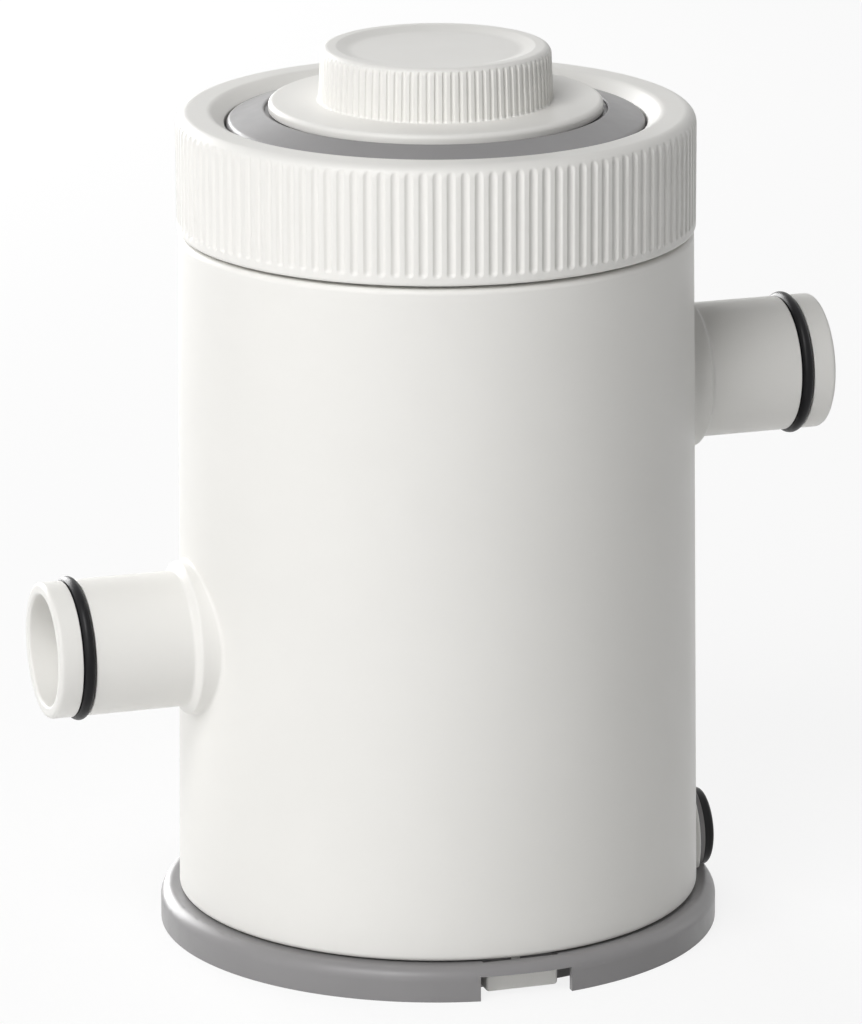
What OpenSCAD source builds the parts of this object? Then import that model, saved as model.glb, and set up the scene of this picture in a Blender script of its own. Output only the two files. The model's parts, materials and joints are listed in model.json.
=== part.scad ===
// Pool filter pump. A white drawn-in cylinder holds the motor bay below, the pump chamber in
// the middle and the filter chamber above. A grey lid closes the filter chamber, a ribbed
// collar screws it down, and a knob in its middle lets air out. A grey base closes the motor bay.
// Z is up and runs along the pump's axis, and z = 0 is the floor. The inlet spigot points
// along +X and the outlet spigot along -X. The base's slots face -Y and +Y.

/* [Housing] */
// Radius of the housing, taken down to the floor
body_r = 62.5; // [61:0.5:66]
// Draft of the housing's side, in degrees
body_draft = 0.58; // [0.1:0.02:1]
// Wall of the housing
body_wall = 3; // [2.5:0.1:3.3]
// Drop of the housing's shoulder below the top of the cartridge
shoulder_drop = 14.9; // [13:0.1:16]
// Depth of the motor bay above the housing's lower edge
motor_bay_h = 49.6; // [48:0.1:54]
// Thickness of the deck between the motor bay and the water
deck_t = 3; // [2.5:0.1:4]
// Outer radius of the threaded neck
neck_r = 54.8; // [54:0.1:55.2]
// Wall of the neck
neck_wall = 3.3; // [3:0.1:3.6]
// Height of the neck above the housing's side
neck_h = 18.1; // [17:0.1:19]

/* [Base] */
// Outer radius of the base
base_r = 67; // [66.5:0.1:70]
// Height of the base's rim
base_h = 8; // [7.6:0.1:9]
// Thickness of the base's floor
base_floor_t = 3; // [2:0.1:3.4]
// Wall of the base's rim
base_wall = 1.7; // [1.5:0.1:1.9]
// Width of each slot in the rim
slot_w = 22.5; // [20:0.5:26]
// Height of each slot above the floor
slot_h = 5.9; // [4.6:0.1:6]
// Width of the housing's catch in each slot
catch_w = 17.6; // [12:0.2:18]
// Height of the catch's head
catch_h = 4; // [3:0.1:4.4]

/* [Collar] */
// Outer radius of the collar
collar_r = 61.2; // [60.8:0.1:64]
// Height of the collar
collar_h = 28; // [27:0.1:30]
// Wall of the collar outside its thread
collar_wall = 3.7; // [3.2:0.1:3.9]
// Radius of the opening at the collar's top
collar_mouth_r = 51.95; // [51:0.05:53]
// Number of finger flutes round the collar
flute_count = 120; // [60:1:140]
// Depth of a flute
flute_depth = 0.55; // [0.3:0.05:0.8]
// Width of a flute
flute_w = 2.06; // [1.6:0.02:2.2]
// Rise of the collar in one turn
thread_lead = 12; // [10:0.5:13]
// Number of thread starts
thread_starts = 2; // [2:1:2]
// Height of a thread ridge above its wall
thread_depth = 1.9; // [1.4:0.1:2]

/* [Lid and knob] */
// Radius of the lid's edge inside the collar's mouth
lid_r = 49.2; // [48.6:0.1:49.4]
// Radius of the lid's recess round the knob
recess_r = 40.3; // [39.9:0.1:41]
// Rise of the lid's slope from its edge to the recess
lid_slope_h = 2.8; // [1.5:0.1:3.5]
// Wall of the lid
lid_wall = 2.5; // [2:0.1:3]
// Radius of the knob's flange
knob_flange_r = 39.35; // [38:0.05:39.5]
// Radius of the knob's grip at its foot
knob_r = 27.6; // [26:0.1:29]
// Draft of the knob's grip, in degrees
knob_draft = 2.7; // [0.5:0.1:4]
// Height of the knob above its flange
knob_h = 12.7; // [11:0.1:14]
// Number of ribs round the knob
knob_rib_count = 90; // [40:1:100]
// Rise of the knob in one turn
valve_lead = 3; // [2:0.1:3.5]

/* [Spigots] */
// Outer radius of a spigot
spigot_r = 16.13; // [15.8:0.01:17]
// Radius of a spigot's bore
spigot_bore_r = 13.25; // [12.5:0.05:13.4]
// Height of the inlet's axis above the floor
inlet_z = 129.6; // [120:0.1:140]
// Height of the outlet's axis above the floor
outlet_z = 74.9; // [74:0.1:77]
// Reach of the inlet spigot from the pump's axis
inlet_reach = 95.5; // [90:0.5:110]
// Reach of the outlet spigot from the pump's axis
outlet_reach = 97.7; // [92:0.5:110]
// Distance of an O-ring's middle from its spigot's mouth
o_ring_inset = 7.2; // [6:0.1:10]
// Outer radius of a spigot's O-ring
o_ring_r = 17.05; // [16.8:0.05:17.9]
// Width of a spigot's O-ring
o_ring_w = 2.9; // [2.4:0.1:3.2]

/* [Filter cartridge] */
// Radius of the cartridge
cartridge_r = 46; // [42:0.5:47]
// Height of the cartridge
cartridge_h = 95; // [90:0.5:96.5]
// Number of pleats
pleat_count = 44; // [30:1:56]
// Inner radius of the cartridge's core
core_r = 20.5; // [19.8:0.1:21.5]

/* [Pump] */
// Radius of the pump chamber
volute_r = 27; // [25:0.1:28]
// Height of the pump chamber
volute_h = 22; // [21:0.1:23]
// Radius of the impeller
impeller_r = 22; // [18:0.1:24]
// Number of impeller vanes
vane_count = 6; // [4:1:8]
// Radius of the ceramic shaft
shaft_r = 2; // [1.5:0.1:2.4]

/* [Motor] */
// Radius of the rotor's magnet
magnet_r = 12; // [11:0.1:12.4]
// Length of the rotor's magnet
magnet_h = 26; // [22:0.5:27]
// Height of the stator's stack of laminations
stack_h = 20; // [16:0.5:21]
// Thickness of the winding on a leg
winding_t = 3.8; // [2.5:0.1:4]

/* [Switch and cable] */
// Height of the switch's axis above the floor
switch_z = 14.4; // [14:0.1:18]
// Radius of the switch's black bezel
switch_r = 9.5; // [8.5:0.1:10.2]
// Travel of the switch's button
switch_travel = 2; // [1:0.1:2.4]
// Radius of the cable that the gland takes
cable_r = 3.6; // [3:0.1:4]
// Height of the gland's axis above the floor
gland_z = 24; // [20:0.5:30]

/* [Hidden] */

white_plastic = [0.93, 0.93, 0.91];
grey_plastic = [0.58, 0.58, 0.59];
black_rubber = [0.08, 0.08, 0.08];
black_plastic = [0.14, 0.14, 0.15];
steel = [0.74, 0.75, 0.77];
paper_white = [0.92, 0.94, 0.96];
cap_blue = [0.30, 0.47, 0.70];
magnet_grey = [0.22, 0.22, 0.24];
ceramic_white = [0.95, 0.94, 0.90];
copper_red = [0.66, 0.36, 0.20];

// Fineness of round shapes
$fn = 96;
// Steps of an arc that is drawn with points
arc_steps = 6;
// Overrun of a cut past the face that it opens
cut = 1;
// Gap between pieces that are close but don't touch
gap = 0.3;
// Radial gap of a running fit
running = 0.05;

// Base and housing, upwards from the floor
rim_seam = 0.4;
body_z = base_h + rim_seam;
deck_z = body_z + motor_bay_h;
deck_top_z = deck_z + deck_t;
volute_seal_t = 0.8;
cover_z = deck_top_z + volute_h + volute_seal_t;
cover_t = 3;
seat_h = 2.6;
cartridge_z = cover_z + cover_t + seat_h;
cartridge_top_z = cartridge_z + cartridge_h;
shoulder_z = cartridge_top_z - shoulder_drop;
neck_top_z = shoulder_z + neck_h;
rim_gap = 0.5;
rim_in_r = body_r + rim_gap;
rim_round = 3;
rim_edge = min(rim_round, base_r - rim_in_r);
sill_inset = 3.84;
sill_in_r = body_r - body_wall - sill_inset;
catch_inset = 1.1;
catch_r = body_r - catch_inset;
catch_head_t = 3.4;
catch_leg_t = 2.4;
catch_round = 1.2;
catch_z = 1;
catch_room = 0.5;

// Radius of the housing's outer side at height z
function side_r(z) = body_r - z * tan(body_draft);

// Screws
screw_r = 1.5;
screw_head_r = 2.9;
screw_head_h = 2.1;
screw_recess_w = 0.8;
screw_hole_r = screw_r + gap;
boss_r = 4;
base_screw_l = 16;
base_screw_count = 4;
base_screw_turn = 22.5;
base_boss_inset = 3.2;
base_boss_ring_r = body_r - body_wall - base_boss_inset;
base_boss_h = 26;
base_boss_r = 4.4;

// Spigots and their seats in the housing
flare_r = 18.7;
flare_l = 2.2;
flare_foot = 2.4;
mouth_round = 1;
o_ring_t = 2.15;
o_ring_seat_r = o_ring_r - o_ring_t;
socket_wall = 2.5;
socket_x = 48;

// Pump chamber
volute_wall = 2.5;
tunnel_r = 8.5;
tunnel_wall = 2;
cover_r = 40;
eye_r = 14;
spout_r = 18.9;
spout_wall = 2.4;
spout_h = 8;
seat_r = 24;
cover_screw_inset = 4.5;
cover_screw_ring_r = volute_r + volute_wall + cover_screw_inset;
cover_screw_count = 4;
cover_screw_l = 12;
cover_boss_drill = 14;

// Filter chamber
cap_t = 8;
cap_fit = 0.4;
cap_round = 1;
core_wall = 1.6;
core_hole_r = 2.6;
core_rows = 8;
core_columns = 10;
pleat_depth_share = 0.38;

// Neck, lid seal and thread
neck_in_r = neck_r - neck_wall;
seal_w = 2.2;
seal_h = 2.4;
seal_proud = 0.8;
seal_r = neck_r - neck_wall / 2;
thread_base_w = 3;
thread_crest_w = 1.9;
thread_sink = 0.6;
neck_thread_rise = 4.4;
neck_thread_z = shoulder_z + neck_thread_rise;
neck_thread_turns = 0.9;
collar_thread_turns = 0.8;
thread_step = 10;
thread_end_share = 0.25;

// Collar
collar_seam = 0.8;
collar_z = shoulder_z + collar_seam;
collar_top_z = collar_z + collar_h;
collar_in_r = collar_r - collar_wall;
collar_edge = 1.6;
collar_lip_gap = 0.2;
collar_lip_room = 0.5;
collar_lip_r = lid_r + collar_lip_room;
collar_mouth_drop = 2;
flute_low = 2.2;
flute_high = 1.7;
flute_cut_r = (flute_w * flute_w / 4 + flute_depth * flute_depth) / (2 * flute_depth);

// Lid
lid_flange_z = neck_top_z + seal_proud;
lid_flange_t = 4.2;
lid_flange_top_z = lid_flange_z + lid_flange_t;
lid_flange_room = 1.5;
lid_flange_r = collar_in_r - lid_flange_room;
lid_edge_drop = 2.1;
lid_edge_z = collar_top_z - lid_edge_drop;
lid_top_z = lid_edge_z + lid_slope_h;
recess_depth = 1.1;
recess_floor_z = lid_top_z - recess_depth;
recess_under_z = recess_floor_z - lid_wall;
lid_plug_r = neck_in_r - gap;
lid_plug_h = 6;
hold_r = 26.5;
hold_wall = 2.2;

// Air valve
knob_flange_gap = 0.4;
knob_flange_z = recess_floor_z + knob_flange_gap;
knob_flange_t = 2.5;
knob_flange_top_z = knob_flange_z + knob_flange_t;
knob_top_z = knob_flange_top_z + knob_h;
knob_wall = 2.4;
knob_flange_edge = 0.9;
knob_edge = 1.6;
knob_dish_r = 22;
knob_dish_depth = 0.9;
knob_rib_cut_r = 0.55;
knob_rib_cut_depth = 0.42;
knob_rib_stop = 0.9;
knob_pin_r = 3;
knob_pin_l = 6;
boss_sleeve_r = 16;
boss_sleeve_h = 7.5;
boss_sleeve_wall = 2.2;
valve_bore_r = 5.6;
valve_nose_l = 9;
valve_disc_r = 9.4;
valve_seal_t = 1.4;
valve_seal_wall = 2.4;
valve_port_r = 2.1;

// Rotor and its can
stator_drop = 13;
stator_z = deck_z - stator_drop - stack_h;
can_gap = 0.8;
can_wall = 1.4;
can_in_r = magnet_r + can_gap;
can_r = can_in_r + can_wall;
can_flange_r = 38.5;
can_flange_t = 2.5;
can_flange_z = deck_z - can_flange_t;
bush_r = 5;
bush_h = 3;
bush_cup_wall = 1.2;
washer_t = 0.8;
magnet_z = stator_z + stack_h / 2 - magnet_h / 2;
magnet_bore_r = 3.6;
washer_gap = 0.2;
washer_z = magnet_z - washer_t - washer_gap;
lower_bush_z = washer_z - bush_h;
can_floor_t = 1.8;
can_z = lower_bush_z - can_floor_t;
can_seal_r = 22;
can_seal_w = 2;
can_screw_ring_r = 34;
can_screw_count = 3;
can_screw_l = 8;
can_boss_h = 8;

// Stator: a U of laminations round the can, with a winding on each leg
pole_w = 26;
pole_front = 19;
pole_back = 17;
pole_gap = 3;
stator_fit = 0.3;
leg_w = 9;
leg_x = 13;
yoke_y = 50;
yoke_w = 9;
bobbin_t = 1;
bobbin_flange_t = 1.2;
post_r = 3.6;
post_x = 21;
post_y = 13.2;
stator_screw_grip = 7;
stator_screw_l = stack_h + stator_screw_grip;

// Impeller
impeller_gap = 1.5;
impeller_z = deck_top_z + impeller_gap;
impeller_disc_t = 2;
vane_t = 1.6;
vane_clear = 1;
vane_drop = 0.6;
vane_h = cover_z - vane_clear - vane_drop - impeller_z - impeller_disc_t;
hub_r = 5;
hub_top_z = cover_z - vane_clear;
vane_root_r = (hub_r + shaft_r) / 2;
upper_bush_r = 3.8;
upper_bush_h = 4;
upper_bush_rise = 1.2;
upper_bush_z = cover_z + upper_bush_rise;
spider_hub_r = 5.6;
spider_arm_w = 2.2;
spider_arms = 3;
shaft_seat = 0.4;
shaft_z = lower_bush_z + shaft_seat;
shaft_top_z = upper_bush_z + upper_bush_h - shaft_seat;

// Switch on the +X side and the base's ear that carries it
ear_r = 11.2;
ear_t = 2.05;
ear_gap = 0.35;
pad_r = 15.3;
pad_flush = 0.2;
pad_x = body_r - pad_flush;
pad_depth = 5.4;
ear_x = pad_x + ear_gap;
ear_face_x = ear_x + ear_t;
switch_barrel_r = 8.8;
switch_barrel_gap = 0.2;
switch_flange_t = 3.1;
switch_round = 1.5;
button_r = 7.4;
button_gap = 0.2;
button_proud = 0.5;
button_l = 7.2;
button_round = 0.8;
switch_rear_x = 41;
switch_tail_l = 6;
switch_tail_x = switch_rear_x - switch_tail_l;
switch_nut_r = 11;
switch_nut_t = 3;
ear_notch_gap = 0.6;

// Cable gland at +Y, terminal block and leads
gland_turn = 130;
gland_r = 7.2;
gland_head_r = 8.6;
gland_head_l = 3;
gland_barrel_gap = 0.2;
gland_x = side_r(gland_z) - body_wall;
gland_in = 9;
gland_nut_r = 9.6;
gland_nut_t = 3;
gland_nut_sag = 0.9;
gland_seat_gap = 0.1;
block_size = [12, 24, 11];
block_x = -45;
block_pitch = 7;
lead_r = 1.1;
lead_hole_r = 1.3;
lead_z = base_h + gap + lead_r;
lead_turn_y = 11;
wire_sides = 8;
wire_steep_share = 0.9;
lead_pitch = 2.6;

// Parts of a profile

// Points of an arc of radius r round x and y, from angle a to angle b
function arc(x, y, r, a, b) = [for (i = [0:arc_steps]) let (t = a + (b - a) * i / arc_steps)
    [x + r * cos(t), y + r * sin(t)]];

// A w by h rectangle from the axis, with its lower and upper outer corners rounded
module rounded_half(w, h, low, high) {
    square([w - max(low, high), h]);
    translate([0, low]) square([w, h - low - high]);
    if (low > 0) translate([w - low, low]) circle(low);
    if (high > 0) translate([w - high, h - high]) circle(high);
}

// A solid disc whose upper and lower edges are rounded
module rounded_disc(r, h, low, high) {
    rotate_extrude() intersection() {
        rounded_half(r, h, low, high);
        square([r + cut, h]);
    }
}

// A tube standing on its z
module tube(r, bore, h) {
    difference() {
        cylinder(r = r, h = h);
        translate([0, 0, -cut]) cylinder(r = bore, h = h + 2 * cut);
    }
}

// Places its children round the axis
module around(count, r, start = 0) {
    for (i = [0:count - 1])
        rotate([0, 0, start + i * 360 / count]) translate([r, 0, 0]) children();
}

// The unit vector along v
function unit(v) = v / norm(v);

// The heading of a route at each of its points, halfway round at a bend
function headings(p) = [for (i = [0:len(p) - 1])
    unit((i > 0 ? unit(p[i] - p[i - 1]) : [0, 0, 0]) + (i < len(p) - 1 ? unit(p[i + 1] - p[i]) : [0, 0, 0]))];

// A side direction at point i, carried along the headings h without twist
function side(h, i) = i == 0
    ? unit(cross(h[0], abs(h[0].z) < wire_steep_share ? [0, 0, 1] : [1, 0, 0]))
    : let (u = side(h, i - 1)) unit(u - (u * h[i]) * h[i]);

// A wire of radius r through the points p
module wire(p, r) {
    h = headings(p);
    n = wire_sides;
    points = [for (i = [0:len(p) - 1]) let (u = side(h, i), v = cross(h[i], u))
        for (k = [0:n - 1]) p[i] + r * (cos(k * 360 / n) * u + sin(k * 360 / n) * v)];
    last = (len(p) - 1) * n;
    skin = [for (i = [0:len(p) - 2], k = [0:n - 1]) let (a = i * n + k, b = i * n + (k + 1) % n)
        each [[a, a + n, b + n], [a, b + n, b]]];
    ends = [for (k = [1:n - 2]) each [[0, k, k + 1], [last, last + k + 1, last + k]]];
    polyhedron(points, concat(skin, ends));
}

// A screw whose head's seat is z = 0 and whose shank points up
module screw(l) {
    cylinder(r = screw_r, h = l, $fn = 24);
    translate([0, 0, -screw_head_h]) difference() {
        cylinder(r = screw_head_r, h = screw_head_h, $fn = 32);
        for (a = [0, 90]) rotate([0, 0, a])
            translate([-screw_head_r / 2, -screw_recess_w / 2, -cut])
                cube([screw_head_r, screw_recess_w, cut + screw_head_h / 2]);
    }
}

// A helical ridge that starts at angle zero on its z and climbs thread_lead a turn. root is
// the radius at its foot and crest the one at its top, inwards or outwards.
module ridge(root, crest, turns) {
    steps = round(turns * 360 / thread_step);
    function ring(i) = let (
        a = i * thread_step,
        z = i * thread_step / 360 * thread_lead,
        taper = min(1, i / 2, (steps - i) / 2),
        top = root + (crest - root) * max(thread_end_share, taper)
    ) [
        for (p = [[root, -thread_base_w / 2], [top, -thread_crest_w / 2],
                  [top, thread_crest_w / 2], [root, thread_base_w / 2]])
            [p[0] * cos(a), p[0] * sin(a), z + p[1]]
    ];
    points = [for (i = [0:steps]) each ring(i)];
    flip = crest < root;
    sides = [for (i = [0:steps - 1], k = [0:3]) let (
        a = i * 4 + k, b = i * 4 + (k + 1) % 4
    ) each [[a, b, b + 4], [a, b + 4, a + 4]]];
    last = steps * 4;
    ends = [[0, 3, 2], [0, 2, 1], [last, last + 1, last + 2], [last, last + 2, last + 3]];
    faces = concat(sides, ends);
    polyhedron(points, flip ? [for (f = faces) [f[0], f[2], f[1]]] : faces);
}

// All starts of one thread
module thread(root, crest, turns, z, turned = 0) {
    for (i = [0:thread_starts - 1])
        rotate([0, 0, turned + i * 360 / thread_starts]) translate([0, 0, z]) ridge(root, crest, turns);
}

// A spigot with its flare, its mouth at x = reach, pointing along +X
module spigot(reach, z) {
    foot = side_r(z) - body_wall / 2;
    translate([foot, 0, z]) rotate([0, 90, 0]) {
        rounded_disc(spigot_r, reach - foot, 0, mouth_round);
        cylinder(r = flare_r, h = side_r(z) + flare_foot - foot);
        translate([0, 0, side_r(z) + flare_foot - foot])
            cylinder(r1 = flare_r, r2 = spigot_r, h = flare_l);
    }
}

// The groove of a spigot's O-ring
module o_ring_groove(reach, z) {
    translate([reach - o_ring_inset - o_ring_w / 2 - gap / 2, 0, z]) rotate([0, 90, 0])
        tube(o_ring_r + cut, o_ring_seat_r, o_ring_w + gap);
}

// An O-ring whose inner side is pressed flat on its seat
module o_ring(reach, z) {
    translate([reach - o_ring_inset, 0, z]) rotate([0, 90, 0]) rotate_extrude() intersection() {
        translate([o_ring_r - o_ring_w / 2, 0]) circle(o_ring_w / 2);
        translate([o_ring_seat_r, -o_ring_w]) square([o_ring_w, 2 * o_ring_w]);
    }
}

// The head and leg that catch the base inside one slot
module catch() {
    inner = catch_r - catch_head_t;
    translate([-catch_w / 2, -catch_r, catch_z]) difference() {
        cube([catch_w, catch_head_t, catch_h]);
        translate([-cut, 0, catch_h - catch_round]) difference() {
            translate([0, -cut, 0]) cube([catch_w + 2 * cut, catch_round + cut, catch_round + cut]);
            translate([0, catch_round, 0]) rotate([0, 90, 0])
                cylinder(r = catch_round, h = catch_w + 2 * cut, $fn = 32);
        }
    }
    translate([-catch_w / 2, -inner - catch_leg_t, catch_z])
        cube([catch_w, catch_leg_t, body_z + 2 * catch_leg_t - catch_z]);
}

// The room of the catch and its slot in the base
module slot() {
    translate([-slot_w / 2, -base_r - cut, -cut])
        cube([slot_w, base_r + cut - sill_in_r - base_wall / 2, slot_h + cut]);
    translate([-catch_w / 2 - catch_room, -catch_r - catch_room, -cut])
        cube([catch_w + 2 * catch_room, catch_head_t + 2 * catch_room, base_h + 2 * cut]);
}

// White pieces of the outside

module housing() color(white_plastic) difference() {
    union() {
        difference() {
            union() {
                translate([0, 0, body_z])
                    cylinder(r1 = side_r(body_z), r2 = side_r(shoulder_z), h = shoulder_z - body_z);
                translate([0, 0, shoulder_z - cut]) cylinder(r = neck_r, h = neck_h + cut);
                spigot(inlet_reach, inlet_z);
                rotate([0, 0, 180]) spigot(outlet_reach, outlet_z);
                intersection() {
                    translate([0, 0, switch_z]) rotate([0, 90, 0]) cylinder(r = pad_r, h = pad_x);
                    translate([0, 0, body_z]) cylinder(r = body_r, h = 2 * pad_r);
                }
            }
            translate([0, 0, body_z - cut])
                cylinder(r1 = side_r(body_z - cut) - body_wall, r2 = side_r(deck_z) - body_wall,
                    h = motor_bay_h + cut);
            translate([0, 0, deck_top_z])
                cylinder(r1 = side_r(deck_top_z) - body_wall,
                    r2 = side_r(shoulder_z - body_wall) - body_wall,
                    h = shoulder_z - body_wall - deck_top_z);
            translate([0, 0, deck_top_z]) cylinder(r = neck_in_r, h = neck_top_z);
        }
        intersection() {
            union() {
                translate([0, 0, deck_top_z - cut])
                    cylinder(r = volute_r + volute_wall, h = volute_h + cut);
                translate([-body_r, 0, deck_top_z + volute_h / 2]) rotate([0, 90, 0])
                    cylinder(r = tunnel_r + tunnel_wall, h = body_r);
                translate([-body_r, 0, outlet_z]) rotate([0, 90, 0])
                    cylinder(r = spigot_r, h = body_r - socket_x);
                translate([0, 0, deck_top_z - cut])
                    around(cover_screw_count, cover_screw_ring_r, 45)
                        cylinder(r = boss_r, h = volute_h + cut);
                translate([0, 0, deck_top_z - cut]) around(can_screw_count, can_screw_ring_r)
                    cylinder(r = boss_r, h = can_boss_h + cut);
            }
            translate([0, 0, deck_top_z - cut])
                cylinder(r = side_r(deck_top_z) - body_wall / 2, h = volute_h + 3 * cut + spigot_r);
        }
        translate([0, 0, base_floor_t + gap])
            around(base_screw_count, base_boss_ring_r, base_screw_turn)
                cylinder(r = base_boss_r, h = base_boss_h);
        intersection() {
            translate([pad_x - pad_depth, 0, switch_z]) rotate([0, 90, 0])
                cylinder(r = pad_r, h = pad_depth - body_wall / 2);
            translate([0, 0, body_z]) cylinder(r = side_r(body_z) - body_wall / 2, h = 2 * pad_r);
        }
        for (a = [0, 180]) rotate([0, 0, a]) catch();
        thread(neck_r - thread_sink, neck_r + thread_depth, neck_thread_turns, neck_thread_z);
    }
    translate([0, 0, deck_top_z]) cylinder(r = volute_r, h = volute_h + cut);
    translate([0, 0, deck_z - cut]) cylinder(r = can_in_r, h = deck_t + 2 * cut);
    translate([-socket_x - socket_wall, 0, deck_top_z + volute_h / 2]) rotate([0, 90, 0])
        cylinder(r = tunnel_r, h = socket_x + socket_wall - volute_r + 2 * cut);
    translate([-outlet_reach - cut, 0, outlet_z]) rotate([0, 90, 0])
        cylinder(r = spigot_bore_r, h = outlet_reach + cut - socket_x - socket_wall);
    translate([side_r(inlet_z) - 2 * body_wall, 0, inlet_z]) rotate([0, 90, 0])
        cylinder(r = spigot_bore_r, h = inlet_reach);
    o_ring_groove(inlet_reach, inlet_z);
    rotate([0, 0, 180]) o_ring_groove(outlet_reach, outlet_z);
    translate([0, 0, neck_top_z - seal_h + seal_proud])
        tube(seal_r + seal_w / 2, seal_r - seal_w / 2, seal_h);
    translate([0, 0, deck_top_z + volute_h - cover_boss_drill])
        around(cover_screw_count, cover_screw_ring_r, 45)
            cylinder(r = screw_r, h = cover_boss_drill + cut, $fn = 24);
    translate([0, 0, deck_z - cut]) around(can_screw_count, can_screw_ring_r)
        cylinder(r = screw_r, h = can_screw_l + cut, $fn = 24);
    translate([0, 0, base_floor_t]) around(base_screw_count, base_boss_ring_r, base_screw_turn)
        cylinder(r = screw_r, h = base_screw_l, $fn = 24);
    translate([pad_x - pad_depth - cut, 0, switch_z]) rotate([0, 90, 0])
        cylinder(r = switch_barrel_r + switch_barrel_gap, h = pad_depth + 2 * cut);
    rotate([0, 0, gland_turn]) translate([gland_x - cut, 0, gland_z]) rotate([0, 90, 0])
        cylinder(r = gland_r + gland_barrel_gap, h = body_wall + 2 * cut);
}

module collar() color(white_plastic) translate([0, 0, collar_z]) {
    difference() {
        union() {
            rounded_disc(collar_r, collar_h, collar_edge / 2, collar_edge);
        }
        translate([0, 0, -cut])
            cylinder(r = collar_in_r, h = lid_flange_top_z + collar_lip_gap - collar_z + cut);
        cylinder(r = collar_lip_r, h = collar_h + cut);
        translate([0, 0, collar_h - collar_mouth_drop])
            cylinder(r1 = collar_lip_r, r2 = collar_mouth_r, h = collar_mouth_drop);
        translate([0, 0, collar_h]) cylinder(r = collar_mouth_r, h = cut);
        translate([0, 0, flute_low]) around(flute_count, collar_r - flute_depth + flute_cut_r)
            cylinder(r = flute_cut_r, h = collar_h - flute_low - flute_high, $fn = 24);
    }
    thread(collar_in_r + thread_sink, collar_in_r - thread_depth, collar_thread_turns,
        neck_thread_z - collar_z, 90);
}

// Grey pieces of the outside

// Outline of the base's rim from radius start and height low, moved in by an inset
module rim_outline(start, low, inset) translate([start, low]) intersection() {
    rounded_half(base_r - inset - start, base_h - inset - low, 0, rim_edge - inset);
    square([base_r - inset - start, base_h - inset - low]);
}

module base_pan() color(grey_plastic) difference() {
    union() {
        rotate_extrude() {
            square([sill_in_r + base_wall, base_floor_t]);
            translate([sill_in_r, 0]) square([base_wall, base_h]);
            translate([sill_in_r, base_h - base_wall])
                square([rim_in_r - sill_in_r, base_wall]);
            difference() {
                rim_outline(rim_in_r - gap, 0, 0);
                rim_outline(rim_in_r - gap - cut, -cut, base_wall);
            }
        }
        intersection() {
            translate([ear_x, 0, switch_z]) rotate([0, 90, 0]) cylinder(r = ear_r, h = ear_t);
            translate([0, 0, base_h - rim_edge / 2]) cylinder(r = base_r, h = switch_z + ear_r);
        }
    }
    for (a = [0, 180]) rotate([0, 0, a]) slot();
    translate([sill_in_r - cut, 0, switch_z]) rotate([0, 90, 0])
        cylinder(r = switch_barrel_r + switch_barrel_gap, h = base_r);
    translate([ear_face_x, 0, switch_z]) rotate([0, 90, 0])
        cylinder(r = switch_r + ear_notch_gap, h = base_r);
    around(base_screw_count, base_boss_ring_r, base_screw_turn) {
        translate([0, 0, -cut]) cylinder(r = screw_hole_r, h = base_h, $fn = 24);
        translate([0, 0, -cut]) cylinder(r = screw_head_r + gap, h = cut + screw_head_h + gap, $fn = 32);
        translate([0, 0, base_floor_t + gap / 2]) cylinder(r = base_boss_r + gap, h = base_h);
    }
    translate([pad_x - pad_depth - switch_nut_t - gap, 0, switch_z]) rotate([0, 90, 0])
        cylinder(r = switch_nut_r + gap, h = switch_nut_t + 2 * gap);
}

module base_screws() color(steel)
    around(base_screw_count, base_boss_ring_r, base_screw_turn)
        translate([0, 0, screw_head_h + gap]) screw(base_screw_l - screw_head_h - gap);

module lid() color(grey_plastic) difference() {
    union() {
        translate([0, 0, lid_flange_z]) cylinder(r = lid_flange_r, h = lid_flange_t);
        translate([0, 0, lid_flange_z]) cylinder(r = lid_r, h = lid_edge_z - lid_flange_z);
        translate([0, 0, lid_edge_z]) cylinder(r1 = lid_r, r2 = recess_r, h = lid_slope_h);
        translate([0, 0, lid_flange_z - lid_plug_h]) cylinder(r = lid_plug_r, h = lid_plug_h);
        translate([0, 0, recess_floor_z]) cylinder(r = boss_sleeve_r, h = boss_sleeve_h);
    }
    difference() {
        union() {
            translate([0, 0, lid_flange_z - lid_plug_h - cut]) cylinder(r = lid_r - lid_wall,
                h = lid_edge_z - lid_wall - lid_flange_z + lid_plug_h + cut);
            translate([0, 0, lid_edge_z - lid_wall])
                cylinder(r1 = lid_r - lid_wall, r2 = recess_r - lid_wall,
                    h = recess_under_z - lid_edge_z + lid_wall);
        }
        translate([0, 0, cartridge_top_z + gap])
            tube(hold_r, hold_r - hold_wall, recess_floor_z - cartridge_top_z);
        translate([0, 0, recess_floor_z - valve_nose_l - lid_wall])
            cylinder(r = valve_bore_r + lid_wall, h = valve_nose_l + lid_wall);
    }
    translate([0, 0, recess_floor_z]) tube(lid_r, boss_sleeve_r, lid_top_z);
    translate([0, 0, recess_floor_z])
        cylinder(r = boss_sleeve_r - boss_sleeve_wall, h = boss_sleeve_h + cut);
    translate([0, 0, recess_floor_z - valve_nose_l - lid_wall - cut])
        cylinder(r = valve_bore_r + gap, h = valve_nose_l + lid_wall + 2 * cut);
    translate([0, 0, recess_floor_z + boss_sleeve_h / 2]) rotate([90, 0, 0])
        translate([0, 0, -boss_sleeve_r - cut])
            cylinder(r = valve_port_r, h = 2 * boss_sleeve_r + 2 * cut, $fn = 24);
}

module lid_seal() color(black_rubber) translate([0, 0, neck_top_z - seal_h + seal_proud])
    tube(seal_r + seal_w / 2 - gap / 2, seal_r - seal_w / 2 + gap / 2, seal_h);

// Air valve

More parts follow.
